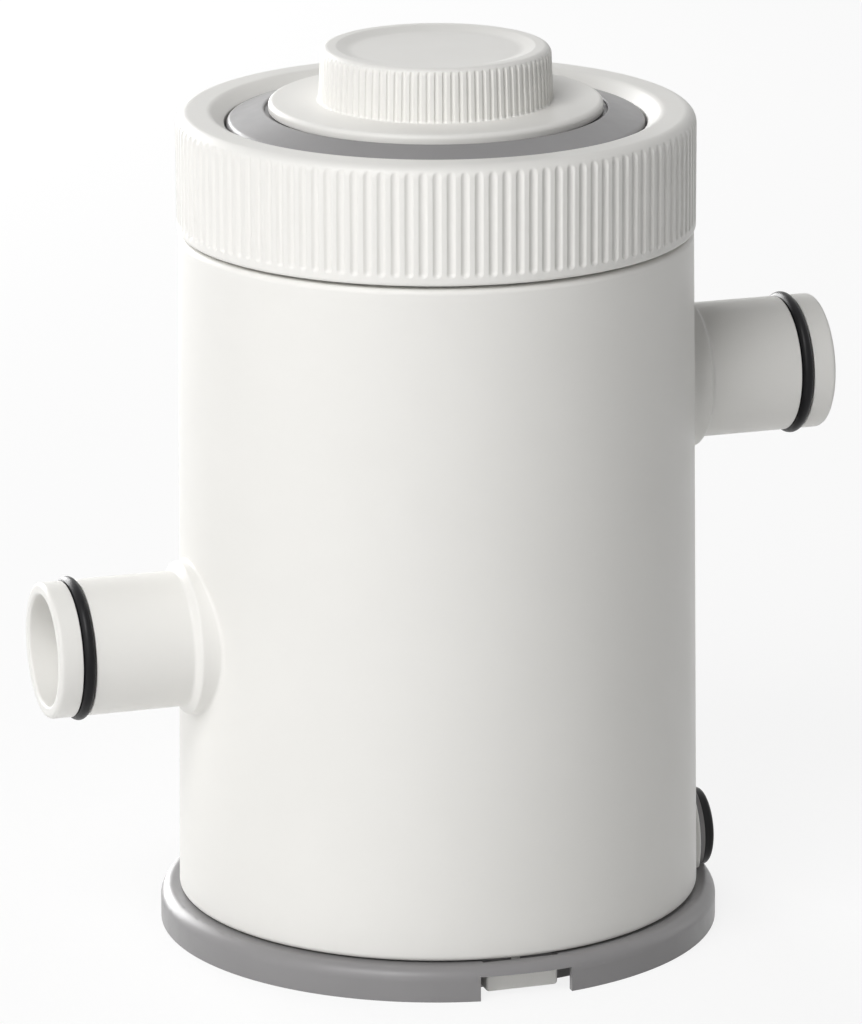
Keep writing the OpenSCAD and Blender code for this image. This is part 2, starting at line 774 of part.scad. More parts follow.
module valve_knob() color(white_plastic) {
    grip_h = knob_h - knob_edge;
    grip_top_r = knob_r - grip_h * tan(knob_draft);
    difference() {
        union() {
            translate([0, 0, knob_flange_z])
                rounded_disc(knob_flange_r, knob_flange_t, 0, knob_flange_edge);
            translate([0, 0, knob_flange_top_z - cut]) rotate_extrude() polygon(concat(
                [[0, 0], [knob_r, 0], [knob_r, cut]],
                arc(grip_top_r - knob_edge, cut + grip_h, knob_edge, -knob_draft, 90),
                [[0, cut + knob_h]]));
        }
        translate([0, 0, knob_flange_z - cut]) cylinder(r = grip_top_r - knob_wall,
            h = knob_flange_t + cut + knob_h - knob_wall - knob_dish_depth);
        translate([0, 0, knob_top_z - knob_dish_depth])
            cylinder(r1 = knob_dish_r - knob_dish_depth, r2 = knob_dish_r, h = knob_dish_depth);
        translate([0, 0, knob_top_z]) cylinder(r = knob_dish_r, h = cut);
        translate([0, 0, knob_flange_top_z])
            around(knob_rib_count, knob_r + knob_rib_cut_r - knob_rib_cut_depth)
                rotate([0, -knob_draft, 0])
                    cylinder(r = knob_rib_cut_r, h = grip_h + knob_rib_stop, $fn = 16);
    }
    translate([0, 0, knob_top_z - knob_wall - knob_dish_depth - knob_pin_l])
        cylinder(r = knob_pin_r, h = knob_pin_l + knob_wall / 2);
    translate([0, 0, recess_floor_z + gap + valve_lead])
        tube(boss_sleeve_r + gap + knob_wall / 2, boss_sleeve_r + gap,
            knob_top_z - knob_wall / 2 - knob_dish_depth - recess_floor_z - gap - valve_lead);
}

module valve_plug() color(black_plastic) difference() {
    roof_z = knob_top_z - knob_wall - knob_dish_depth;
    union() {
        translate([0, 0, recess_floor_z + valve_seal_t])
            cylinder(r = valve_disc_r, h = roof_z - gap - recess_floor_z - valve_seal_t);
        translate([0, 0, recess_floor_z - valve_nose_l])
            cylinder(r = valve_bore_r - gap, h = valve_nose_l + valve_seal_t + cut);
    }
    translate([0, 0, roof_z - knob_pin_l - gap])
        cylinder(r = knob_pin_r + running, h = knob_pin_l + 2 * cut);
    translate([0, 0, recess_floor_z - valve_nose_l - cut]) for (s = [-1, 1])
        translate([s * valve_bore_r - valve_bore_r / 2, -valve_bore_r, 0])
            cube([valve_bore_r, 2 * valve_bore_r, valve_nose_l + cut - valve_seal_t]);
}

module valve_seal() color(black_rubber) translate([0, 0, recess_floor_z])
    tube(valve_disc_r - gap, valve_disc_r - gap - valve_seal_wall, valve_seal_t);

// Spigot seals

module inlet_o_ring() color(black_rubber) o_ring(inlet_reach, inlet_z);

module outlet_o_ring() color(black_rubber) rotate([0, 0, 180]) o_ring(outlet_reach, outlet_z);

// Filter cartridge

// A star whose points lie on r and whose hollows lie on inner
module star(r, inner) {
    polygon([for (i = [0:2 * pleat_count - 1]) let (q = i % 2 == 0 ? r : inner, a = i * 180 / pleat_count)
        [q * cos(a), q * sin(a)]]);
}

module cartridge_pleats() color(paper_white) {
    band = cartridge_r - 2 * gap - core_r - core_wall;
    fold = band * pleat_depth_share;
    translate([0, 0, cartridge_z + cap_t]) linear_extrude(cartridge_h - 2 * cap_t) difference() {
        star(cartridge_r - 2 * gap, core_r + core_wall + gap + fold);
        star(cartridge_r - 2 * gap - fold, core_r + core_wall + gap);
    }
}

module cartridge_cap(z) {
    translate([0, 0, z]) difference() {
        rounded_disc(cartridge_r, cap_t, cap_round, cap_round);
        translate([0, 0, -cut]) cylinder(r = spout_r + cap_fit, h = cap_t + 2 * cut);
    }
}

module cartridge_top_cap() color(cap_blue) cartridge_cap(cartridge_top_z - cap_t);

module cartridge_bottom_cap() color(cap_blue) cartridge_cap(cartridge_z);

module cartridge_core() color(white_plastic) {
    h = cartridge_h - 2 * cap_t;
    translate([0, 0, cartridge_z + cap_t]) difference() {
        tube(core_r + core_wall, core_r, h);
        for (row = [1:core_rows])
            translate([0, 0, row * h / (core_rows + 1)]) around(core_columns, core_r - cut)
                rotate([0, 90, 0]) cylinder(r = core_hole_r, h = core_wall + 2 * cut, $fn = 24);
    }
}

// Pump

module volute_cover() color(white_plastic) translate([0, 0, cover_z]) difference() {
    union() {
        difference() {
            union() {
                cylinder(r = cover_r, h = cover_t);
                cylinder(r = seat_r, h = cover_t + seat_h);
                cylinder(r = spout_r, h = cover_t + spout_h);
            }
            translate([0, 0, -cut]) cylinder(r = eye_r, h = cover_t + 2 * cut);
            translate([0, 0, cover_t]) cylinder(r = spout_r - spout_wall, h = spout_h + cut);
        }
        cylinder(r = spider_hub_r, h = upper_bush_z + upper_bush_h - cover_z);
        for (i = [0:spider_arms - 1]) rotate([0, 0, i * 360 / spider_arms])
            translate([0, -spider_arm_w / 2, 0]) cube([eye_r + cut, spider_arm_w, cover_t]);
    }
    translate([0, 0, -cut]) cylinder(r = shaft_r + 2 * gap, h = spout_h);
    translate([0, 0, upper_bush_z - cover_z]) cylinder(r = upper_bush_r, h = upper_bush_h + cut);
    around(cover_screw_count, cover_screw_ring_r, 45) translate([0, 0, -cut])
        cylinder(r = screw_hole_r, h = cover_t + 2 * cut, $fn = 24);
}

module volute_seal() color(black_rubber) translate([0, 0, cover_z - volute_seal_t])
    tube(volute_r + volute_wall, volute_r, volute_seal_t);

module volute_screws() color(steel) translate([0, 0, cover_z + cover_t])
    around(cover_screw_count, cover_screw_ring_r, 45) mirror([0, 0, 1]) screw(cover_screw_l);

module impeller() color(black_plastic) difference() {
    union() {
        translate([0, 0, impeller_z]) cylinder(r = impeller_r, h = impeller_disc_t);
        translate([0, 0, magnet_z]) cylinder(r = magnet_bore_r, h = magnet_h + cut);
        translate([0, 0, magnet_z + magnet_h]) cylinder(r = hub_r, h = hub_top_z - magnet_z - magnet_h);
        translate([0, 0, impeller_z + impeller_disc_t / 2]) around(vane_count, vane_root_r)
            translate([0, -vane_t / 2, 0])
                cube([impeller_r - vane_t / 2 - vane_root_r, vane_t, impeller_disc_t / 2 + vane_h]);
    }
    translate([0, 0, magnet_z - cut])
        cylinder(r = shaft_r + running, h = hub_top_z - magnet_z + 2 * cut);
}

module rotor_magnet() color(magnet_grey) translate([0, 0, magnet_z])
    tube(magnet_r, magnet_bore_r, magnet_h);

module rotor_shaft() color(ceramic_white) translate([0, 0, shaft_z])
    cylinder(r = shaft_r, h = shaft_top_z - shaft_z);

module lower_bush() color(black_rubber) translate([0, 0, lower_bush_z]) difference() {
    cylinder(r = bush_r, h = bush_h);
    translate([0, 0, shaft_z - lower_bush_z]) cylinder(r = shaft_r, h = bush_h);
}

module upper_bush() color(black_rubber) translate([0, 0, upper_bush_z]) difference() {
    cylinder(r = upper_bush_r, h = upper_bush_h);
    translate([0, 0, -cut]) cylinder(r = shaft_r, h = shaft_top_z - upper_bush_z + cut);
}

module thrust_washer() color(ceramic_white) translate([0, 0, washer_z])
    tube(bush_r, shaft_r + running, washer_t);

module rotor_can() color(black_plastic) difference() {
    union() {
        translate([0, 0, can_z]) cylinder(r = can_r, h = deck_z - can_z);
        translate([0, 0, can_flange_z]) cylinder(r = can_flange_r, h = can_flange_t);
        for (sx = [-1, 1], sy = [-1, 1])
            translate([sx * post_x, sy * post_y, stator_z + stack_h])
                cylinder(r = post_r, h = can_flange_z - stator_z - stack_h + cut);
    }
    difference() {
        translate([0, 0, can_z + can_floor_t]) cylinder(r = can_in_r, h = deck_z);
        translate([0, 0, can_z]) tube(bush_r + bush_cup_wall, bush_r, can_floor_t + bush_h);
    }
    translate([0, 0, deck_z - can_seal_w])
        tube(can_seal_r + can_seal_w / 2, can_seal_r - can_seal_w / 2, can_seal_w + cut);
    around(can_screw_count, can_screw_ring_r) translate([0, 0, can_flange_z - cut])
        cylinder(r = screw_hole_r, h = can_flange_t + 2 * cut, $fn = 24);
    for (sx = [-1, 1], sy = [-1, 1]) translate([sx * post_x, sy * post_y, stator_z + stack_h - cut])
        cylinder(r = screw_r, h = stator_screw_l - stack_h + cut, $fn = 24);
}

module can_seal() color(black_rubber) translate([0, 0, deck_z - can_seal_w])
    tube(can_seal_r + can_seal_w / 2 - gap / 2, can_seal_r - can_seal_w / 2 + gap / 2, can_seal_w);

module can_screws() color(steel) translate([0, 0, can_flange_z])
    around(can_screw_count, can_screw_ring_r) screw(can_screw_l);

// Motor

module stator_core() color(magnet_grey) translate([0, 0, stator_z]) difference() {
    union() {
        translate([-pole_w, -pole_front, 0]) cube([2 * pole_w, pole_front + pole_back, stack_h]);
        for (s = [-1, 1]) translate([s * leg_x - leg_w / 2, 0, 0]) cube([leg_w, yoke_y, stack_h]);
        translate([-leg_x - leg_w / 2, yoke_y - yoke_w, 0]) cube([2 * leg_x + leg_w, yoke_w, stack_h]);
    }
    translate([0, 0, -cut]) cylinder(r = can_r + stator_fit, h = stack_h + 2 * cut);
    translate([-pole_gap / 2, -pole_front - cut, -cut])
        cube([pole_gap, pole_front + pole_back + 2 * cut, stack_h + 2 * cut]);
    for (sx = [-1, 1], sy = [-1, 1]) translate([sx * post_x, sy * post_y, -cut])
        cylinder(r = screw_hole_r, h = stack_h + 2 * cut, $fn = 24);
}

// A block round one leg, between the poles and the yoke
module round_leg(s, in, out, start, end) {
    translate([s * leg_x, start, stator_z + stack_h / 2]) rotate([-90, 0, 0]) difference() {
        translate([-leg_w / 2 - out, -stack_h / 2 - out, 0])
            cube([leg_w + 2 * out, stack_h + 2 * out, end - start]);
        translate([-leg_w / 2 - in, -stack_h / 2 - in, -cut])
            cube([leg_w + 2 * in, stack_h + 2 * in, end - start + 2 * cut]);
    }
}

module bobbin(s) {
    start = pole_back + gap;
    end = yoke_y - yoke_w - gap;
    flange = winding_t + bobbin_t;
    union() {
        round_leg(s, 0, bobbin_t, start, end);
        round_leg(s, 0, flange, start, start + bobbin_flange_t);
        round_leg(s, 0, flange, end - bobbin_flange_t, end);
    }
}

module winding(s) {
    start = pole_back + gap + bobbin_flange_t;
    end = yoke_y - yoke_w - gap - bobbin_flange_t;
    round_leg(s, bobbin_t, bobbin_t + winding_t - gap, start, end);
}

module left_bobbin() color(black_plastic) bobbin(-1);

module right_bobbin() color(black_plastic) bobbin(1);

module left_winding() color(copper_red) winding(-1);

module right_winding() color(copper_red) winding(1);

module stator_screws() color(steel) for (sx = [-1, 1], sy = [-1, 1])
    translate([sx * post_x, sy * post_y, stator_z]) screw(stator_screw_l);

// Switch

module switch_body() color(black_plastic) translate([0, 0, switch_z]) rotate([0, 90, 0]) {
    difference() {
        union() {
            translate([0, 0, ear_face_x]) rounded_disc(switch_r, switch_flange_t, 0, switch_round);
            translate([0, 0, switch_rear_x]) cylinder(r = switch_barrel_r, h = ear_face_x - switch_rear_x);
        }
        translate([0, 0, ear_face_x + switch_flange_t + button_proud - button_l - switch_travel - gap])
            cylinder(r = button_r + button_gap, h = button_l + 2 * switch_travel + cut);
    }
    translate([0, 0, switch_tail_x])
        tube(switch_barrel_r / 2, lead_hole_r, switch_tail_l);
}

module switch_nut() color(black_plastic) translate([pad_x - pad_depth - switch_nut_t, 0, switch_z])
    rotate([0, 90, 0]) difference() {
        rotate([0, 0, 30]) cylinder(r = switch_nut_r, h = switch_nut_t, $fn = 6);
        translate([0, 0, -cut]) cylinder(r = switch_barrel_r, h = switch_nut_t + 2 * cut);
    }

module switch_button() color(black_plastic)
    translate([ear_face_x + switch_flange_t + button_proud - button_l, 0, switch_z])
        rotate([0, 90, 0]) rounded_disc(button_r, button_l, 0, button_round);

// Cable gland, terminal block and leads

// Stands its children on the gland's axis, with z = 0 at the housing's inner side
module at_gland() {
    rotate([0, 0, gland_turn]) translate([gland_x, 0, gland_z]) rotate([0, 90, 0]) children();
}

module cord_gland() color(black_rubber) at_gland() difference() {
    union() {
        translate([0, 0, -gland_in]) cylinder(r = gland_r, h = gland_in + body_wall + cut);
        translate([0, 0, body_wall + gland_seat_gap])
            rounded_disc(gland_head_r, gland_head_l, 0, gland_head_l / 2);
    }
    translate([0, 0, -gland_in - cut])
        cylinder(r = cable_r, h = gland_in + body_wall + gland_head_l + 2 * cut);
}

module gland_nut() color(black_plastic) at_gland()
    translate([0, 0, -gland_nut_t - gland_nut_sag]) difference() {
        cylinder(r = gland_nut_r, h = gland_nut_t, $fn = 6);
        translate([0, 0, -cut]) cylinder(r = gland_r, h = gland_nut_t + 2 * cut);
    }

module terminal_block() color(paper_white)
    translate([block_x - block_size.x / 2, -block_size.y / 2, base_floor_t]) difference() {
        cube(block_size);
        for (i = [-1:1]) translate([-cut, block_size.y / 2 + i * block_pitch, lead_z - base_floor_t])
            rotate([0, 90, 0]) cylinder(r = lead_hole_r, h = block_size.x + 2 * cut, $fn = 24);
    }

module lead_wires() color(copper_red) {
    inner_x = block_x + block_size.x / 2;
    outer_x = block_x - block_size.x / 2;
    coil_y = pole_back + gap + bobbin_flange_t + 2 * lead_r;
    coil_z = stator_z - bobbin_t - winding_t;
    gland_end = (gland_x - gland_in - lead_pitch / 2) * [cos(gland_turn), sin(gland_turn)];
    for (s = [-1, 1]) wire([
        [inner_x - cut, (1 - s) / 2 * block_pitch, lead_z],
        [inner_x + 2 * lead_r, (1 - s) / 2 * block_pitch, lead_z],
        [s * leg_x, coil_y, lead_z], [s * leg_x, coil_y, coil_z]], lead_r);
    wire([
        [inner_x - cut, -block_pitch, lead_z], [inner_x + 2 * lead_r, -block_pitch, lead_z],
        [switch_tail_x - switch_tail_l, 0, lead_z],
        [switch_tail_x - 2 * lead_r, 0, switch_z], [switch_tail_x + cut, 0, switch_z]], lead_r);
    for (i = [0, 1]) let (x = outer_x - (1 + i) * lead_pitch, y = (1 - i) * block_pitch) wire([
        [gland_end.x, gland_end.y, gland_z + (2 * i - 1) * cable_r / 2],
        [x, lead_turn_y + 2 * i * lead_r, lead_z], [x, y, lead_z], [outer_x + cut, y, lead_z]], lead_r);
}

housing();
base_pan();
base_screws();
collar();
lid();
lid_seal();
valve_knob();
valve_plug();
valve_seal();
inlet_o_ring();
outlet_o_ring();
cartridge_pleats();
cartridge_top_cap();
cartridge_bottom_cap();
cartridge_core();
volute_cover();
volute_seal();
volute_screws();
impeller();
rotor_magnet();
rotor_shaft();
lower_bush();
upper_bush();
thrust_washer();
rotor_can();
can_seal();
can_screws();
stator_core();
left_bobbin();
right_bobbin();
left_winding();
right_winding();
stator_screws();
switch_body();
switch_nut();
switch_button();
cord_gland();
gland_nut();
terminal_block();
lead_wires();
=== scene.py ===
"""A pool filter pump, dressed for a plain studio picture around its fixed frame.

Every length in the classes is in millimetres and in the frame's own directions: Z runs up
the pump's axis, +X along the inlet spigot. Meshes are turned into metres as they are made.
"""

import json
import logging
import math
from dataclasses import dataclass, field
from enum import Enum

import bmesh
import bpy
import numpy as np
from mathutils import Matrix, Vector


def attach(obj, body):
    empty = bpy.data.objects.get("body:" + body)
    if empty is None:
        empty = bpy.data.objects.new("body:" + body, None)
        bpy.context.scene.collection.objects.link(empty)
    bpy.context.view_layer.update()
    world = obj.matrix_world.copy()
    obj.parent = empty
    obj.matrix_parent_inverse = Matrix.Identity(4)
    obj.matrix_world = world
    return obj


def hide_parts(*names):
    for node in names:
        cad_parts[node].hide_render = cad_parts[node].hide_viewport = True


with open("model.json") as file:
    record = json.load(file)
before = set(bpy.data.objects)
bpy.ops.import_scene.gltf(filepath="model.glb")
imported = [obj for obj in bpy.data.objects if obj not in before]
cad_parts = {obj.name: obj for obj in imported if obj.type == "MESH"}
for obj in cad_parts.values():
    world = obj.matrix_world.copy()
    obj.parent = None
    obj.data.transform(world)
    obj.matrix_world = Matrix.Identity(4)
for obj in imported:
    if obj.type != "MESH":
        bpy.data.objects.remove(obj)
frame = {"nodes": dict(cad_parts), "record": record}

MM = 0.001
TURN = 2.0 * math.pi

# Height of each spigot's axis, and distance of its mouth from the pump's axis
INLET_Z, INLET_REACH = 129.6, 95.5
OUTLET_Z, OUTLET_REACH = 74.9, 97.7

# A spigot's rubber ring: radius of its seat, and how far it stands in from the mouth
RING_SEAT, RING_INSET = 14.9, 7.2

# The neck's thread: height of its start, rise in one turn, and reach to both sides of its wall
THREAD_Z, THREAD_LEAD = 173.9, 12.0
THREAD_SUNK, THREAD_PROUD = 0.6, 1.9

# Height of the switch's axis
SWITCH_Z = 14.4

# Grid on which points are welded; the shift keeps round lengths off its ties
KEYS_PER_MM, KEY_SHIFT = 1000.0, 0.137

log = logging.getLogger("pump")


class Body(Enum):
    """The frame's bodies that pieces ride on."""

    PUMP = "pump"
    LID = "lid"
    COLLAR = "collar"
    KNOB = "valve_knob"
    BUTTON = "switch_button"


class Slot(Enum):
    """The record's material slots."""

    WHITE = "white_plastic"
    GREY = "grey_plastic"
    RUBBER = "black_rubber"
    BLACK = "black_plastic"
    BLUE = "blue_plastic"
    PAPER = "filter_paper"
    CORE = "filter_plastic"
    SCREW = "screw_steel"
    LAMINATION = "lamination_steel"
    FERRITE = "ferrite"
    CERAMIC = "ceramic"
    COPPER = "copper"


# Finishes


def add(
    tree: bpy.types.NodeTree, kind: str, values: dict[str, object] | None = None
) -> bpy.types.Node:
    """Adds a node of a kind to the tree and sets the inputs that values names."""
    node = tree.nodes.new(kind)
    for name, value in (values or {}).items():
        node.inputs[name].default_value = value
    return node


# The values between which most of a noise lies, and which are carried over to a look's range
NOISE_LOW, NOISE_HIGH = 0.3, 0.7


@dataclass(frozen=True)
class Finish:
    """A moulded, cast or drawn surface, painted by noise on Object coordinates.

    Args:
        colour: Linear base colour.
        shade: How far the colour strays from itself, as a share of it.
        patch: Width of a colour patch, in millimetres.
        roughness: Middle of the roughness.
        rough_spread: How far the roughness strays to each side.
        grain: Width of a grain of the fine bump, in millimetres.
        grain_height: Height of the fine bump, in millimetres.
        wave: Width of the soft unevenness of the moulding, in millimetres.
        wave_height: Height of that unevenness, in millimetres.
        metallic: Share of metal.
        specular: Specular level of the shader.
        stretch: Scale of the grain along X, Y and Z, for a drawn or layered surface.
    """

    colour: tuple[float, float, float]
    shade: float = 0.03
    patch: float = 30.0
    roughness: float = 0.4
    rough_spread: float = 0.05
    grain: float = 0.5
    grain_height: float = 0.01
    wave: float = 25.0
    wave_height: float = 0.02
    metallic: float = 0.0
    specular: float = 0.5
    stretch: tuple[float, float, float] = (1.0, 1.0, 1.0)

    def material(self, name: str) -> bpy.types.Material:
        """Builds the shader's nodes.

        Args:
            name: Name of the new material.

        Returns:
            The material, with colour, roughness and bump from noise.
        """
        made = bpy.data.materials.new(name)
        made.use_nodes = True
        tree = made.node_tree
        shader = tree.nodes["Principled BSDF"]
        place = add(tree, "ShaderNodeTexCoord")
        turn = add(tree, "ShaderNodeMapping", {"Scale": self.stretch})
        tree.links.new(place.outputs["Object"], turn.inputs["Vector"])

        def noise(width: float, detail: float) -> bpy.types.NodeSocket:
            """Noise whose patches are about width millimetres wide."""
            values = {"Scale": 1.0 / (width * MM), "Detail": detail}
            node = add(tree, "ShaderNodeTexNoise", values)
            tree.links.new(turn.outputs["Vector"], node.inputs["Vector"])
            return node.outputs["Fac"]

        def spread(
            source: bpy.types.NodeSocket, low: float, high: float
        ) -> bpy.types.NodeSocket:
            """The source's middle range carried over to low and high."""
            values = {"From Min": NOISE_LOW, "From Max": NOISE_HIGH, "To Min": low, "To Max": high}
            node = add(tree, "ShaderNodeMapRange", values)
            tree.links.new(source, node.inputs["Value"])
            return node.outputs["Result"]

        def bump(width: float, height: float) -> bpy.types.Node:
            """A bump of noise that is height millimetres high."""
            node = add(tree, "ShaderNodeBump", {"Distance": height * MM, "Strength": 1.0})
            tree.links.new(noise(width, 2.0), node.inputs["Height"])
            return node

        colours = add(tree, "ShaderNodeValToRGB")
        low = [max(0.0, c * (1.0 - self.shade)) for c in self.colour]
        high = [min(1.0, c * (1.0 + self.shade)) for c in self.colour]
        stops = colours.color_ramp.elements
        stops[0].position, stops[0].color = NOISE_LOW, (*low, 1.0)
        stops[1].position, stops[1].color = NOISE_HIGH, (*high, 1.0)
        tree.links.new(noise(self.patch, 3.0), colours.inputs["Fac"])
        tree.links.new(colours.outputs["Color"], shader.inputs["Base Color"])
        middle, stray = self.roughness, self.rough_spread
        rough = spread(noise(self.patch / 6.0, 4.0), middle - stray, middle + stray)
        tree.links.new(rough, shader.inputs["Roughness"])
        wave = bump(self.wave, self.wave_height)
        grain = bump(self.grain, self.grain_height)
        tree.links.new(wave.outputs["Normal"], grain.inputs["Normal"])
        tree.links.new(grain.outputs["Normal"], shader.inputs["Normal"])
        shader.inputs["Metallic"].default_value = self.metallic
        shader.inputs["Specular IOR Level"].default_value = self.specular
        return made


FINISHES: dict[Slot, Finish] = {
    Slot.WHITE: Finish(
        (0.85, 0.84, 0.81), 0.012, 40.0, 0.42, 0.05, 0.45, 0.006, 30.0, 0.02, specular=0.3
    ),
    Slot.GREY: Finish(
        (0.27, 0.264, 0.267), 0.03, 25.0, 0.36, 0.04, 0.45, 0.008, 25.0, 0.02, specular=0.4
    ),
    Slot.RUBBER: Finish(
        (0.007, 0.007, 0.008), 0.2, 8.0, 0.36, 0.06, 0.3, 0.006, 8.0, 0.01, specular=0.18
    ),
    Slot.BLACK: Finish(
        (0.010, 0.010, 0.011), 0.15, 12.0, 0.36, 0.05, 0.4, 0.008, 12.0, 0.01, specular=0.2
    ),
    Slot.BLUE: Finish((0.07, 0.20, 0.46), 0.06, 14.0, 0.55, 0.06, 0.6, 0.02, 12.0, 0.03),
    Slot.PAPER: Finish(
        (0.84, 0.86, 0.88), 0.05, 6.0, 0.85, 0.05, 0.25, 0.05, 5.0, 0.05, specular=0.2
    ),
    Slot.CORE: Finish((0.80, 0.80, 0.78), 0.03, 20.0, 0.50, 0.05, 0.5, 0.01, 20.0, 0.02),
    Slot.SCREW: Finish(
        (0.62, 0.61, 0.60), 0.08, 3.0, 0.30, 0.08, 0.2, 0.01, 3.0, 0.01, metallic=1.0
    ),
    Slot.LAMINATION: Finish(
        (0.10, 0.10, 0.11), 0.2, 6.0, 0.50, 0.1, 0.5, 0.04, 6.0, 0.02, 0.6, stretch=(1.0, 1.0, 12.0)
    ),
    Slot.FERRITE: Finish((0.055, 0.055, 0.06), 0.15, 4.0, 0.6, 0.08, 0.3, 0.02, 6.0, 0.02),
    Slot.CERAMIC: Finish((0.84, 0.82, 0.76), 0.02, 8.0, 0.2, 0.04, 0.3, 0.003, 8.0, 0.01),
    Slot.COPPER: Finish(
        (0.50, 0.18, 0.07), 0.2, 2.0, 0.35, 0.08, 0.4, 0.08, 4.0, 0.02, 0.7, stretch=(1.0, 1.0, 8.0)
    ),
}


@dataclass
class Paintbox:
    """Makes each finish's material once and hands it out."""

    made: dict[Slot, bpy.types.Material] = field(default_factory=dict)

    def get(self, slot: Slot) -> bpy.types.Material:
        """The material of a slot."""
        if slot not in self.made:
            self.made[slot] = FINISHES[slot].material(slot.value)
        return self.made[slot]


# Shapes

Corner = tuple[float, float, float]


def soften(corners: list[Corner], steps: int = 5, loop: bool = False) -> np.ndarray:
    """Rounds the corners of a profile.

    Each corner (a, b, radius) with a radius above zero becomes an arc that touches both of
    its edges, with one more point close to each end of the arc, so that the flat beside it
    shades flat.

    Args:
        corners: The corners with their radii.
        steps: Pieces of each arc.
        loop: True where the last corner joins the first.

    Returns:
        The profile's points, one row each.
    """
    edge_share, pad_share, pad_most = 0.49, 0.25, 0.2
    count = len(corners)
    out: list[np.ndarray] = []
    for i, (a, b, radius) in enumerate(corners):
        here = np.array([a, b])
        if radius <= 0.0 or (not loop and i in (0, count - 1)):
            out.append(here[None])
            continue
        before = np.array(corners[i - 1][:2]) - here
        after = np.array(corners[(i + 1) % count][:2]) - here
        lengths = np.linalg.norm(before), np.linalg.norm(after)
        u, v = before / lengths[0], after / lengths[1]
        half = math.acos(max(-1.0, min(1.0, float(u @ v)))) / 2.0
        reach = min(radius / math.tan(half), edge_share * min(lengths))
        r = reach * math.tan(half)
        middle = here + (u + v) / np.linalg.norm(u + v) * r / math.sin(half)
        start, end = here + u * reach, here + v * reach
        first = math.atan2(*(start - middle)[::-1])
        swing = (math.atan2(*(end - middle)[::-1]) - first + math.pi) % TURN - math.pi
        t = first + swing * np.linspace(0.0, 1.0, steps + 1)
        arc = middle + r * np.stack([np.cos(t), np.sin(t)], 1)
        pad = min(pad_share * r, pad_most)
        spare = [min(pad, 0.5 * (length - reach)) for length in lengths]
        out += [(start + u * spare[0])[None], arc, (end + v * spare[1])[None]]
    return np.concatenate(out)


def revolve(profile: np.ndarray, angles: np.ndarray) -> np.ndarray:
    """Turns a profile round Z: x = r cos a, y = r sin a, z = z.

    Args:
        profile: Rows of radius and height.
        angles: The angles of the columns, in radians.

    Returns:
        A grid of points, profile by angle.
    """
    r, z = profile[:, 0][:, None], profile[:, 1][:, None]
    return np.stack([r * np.cos(angles), r * np.sin(angles), z + 0.0 * angles], -1)


def turn_to_x(points: np.ndarray, height: float, side: float = 1.0) -> np.ndarray:
    """Lays a grid whose axis is Z along side * X, with its axis at a height.

    The point (x, y, z) goes to (side z, side y, height - x).

    Args:
        points: The grid.
        height: Height of the axis.
        side: 1 towards +X and -1 towards -X.

    Returns:
        The laid grid.
    """
    x, y, z = points[..., 0], points[..., 1], points[..., 2]
    return np.stack([side * z, side * y, height - x], -1)


def columns(count: int) -> np.ndarray:
    """Angles of evenly spread columns."""
    return np.arange(count) * TURN / count


@dataclass
class Sheet:
    """One grid of points, closed on itself along its rows, its columns, both or neither."""

    points: np.ndarray
    close_rows: bool = False
    close_columns: bool = False

    def faces(self) -> np.ndarray:
        """Corner indices of the grid's four-sided faces."""
        n, m = self.points.shape[:2]
        index = np.arange(n * m).reshape(n, m)
        if self.close_rows:
            index = np.concatenate([index, index[:1]], 0)
        if self.close_columns:
            index = np.concatenate([index, index[:, :1]], 1)
        quads = np.stack([index[:-1, :-1], index[:-1, 1:], index[1:, 1:], index[1:, :-1]], -1)
        return quads.reshape(-1, 4)


@dataclass
class LooseSheet(Sheet):
    """Points in one long row with their own faces, for a grid that has windows in it."""

    quads: np.ndarray = field(default_factory=lambda: np.zeros((0, 4), int))

    def faces(self) -> np.ndarray:
        """The faces as they were given."""
        return self.quads


def fan(ring: np.ndarray) -> Sheet:
    """A ring drawn together to its middle, which closes the end of a grid."""
    return Sheet(np.stack([ring, np.broadcast_to(ring.mean(0), ring.shape)]), close_columns=True)


def capped(points: np.ndarray) -> list[Sheet]:
    """A grid whose columns close on themselves, with its first and last ring filled."""
    return [Sheet(points, close_columns=True), fan(points[0]), fan(points[-1])]


def welded(sheets: list[Sheet]) -> tuple[np.ndarray, np.ndarray, np.ndarray]:
    """Joins grids into one mesh and drops the faces that a pole or a seam has squeezed flat.

    Args:
        sheets: The grids.

    Returns:
        Points in millimetres, four-sided faces and three-sided faces.
    """
    starts = np.cumsum([0] + [s.points.shape[0] * s.points.shape[1] for s in sheets])
    points = np.concatenate([s.points.reshape(-1, 3) for s in sheets])
    faces = np.concatenate([s.faces() + start for s, start in zip(sheets, starts)])
    keys = np.round(points * KEYS_PER_MM + KEY_SHIFT).astype(np.int64)
    _, first, where = np.unique(keys, axis=0, return_index=True, return_inverse=True)
    faces = where.reshape(-1)[faces]
    same = faces == np.roll(faces, -1, axis=1)
    crossed = (faces[:, 0] == faces[:, 2]) | (faces[:, 1] == faces[:, 3])
    quads = faces[~same.any(1) & ~crossed]
    thin = faces[same.sum(1) == 1]
    drop = np.argmax(thin == np.roll(thin, -1, axis=1), 1)
    keep = np.arange(4)[None] != drop[:, None]
    triangles = thin[keep].reshape(-1, 3)
    return points[first], quads, triangles


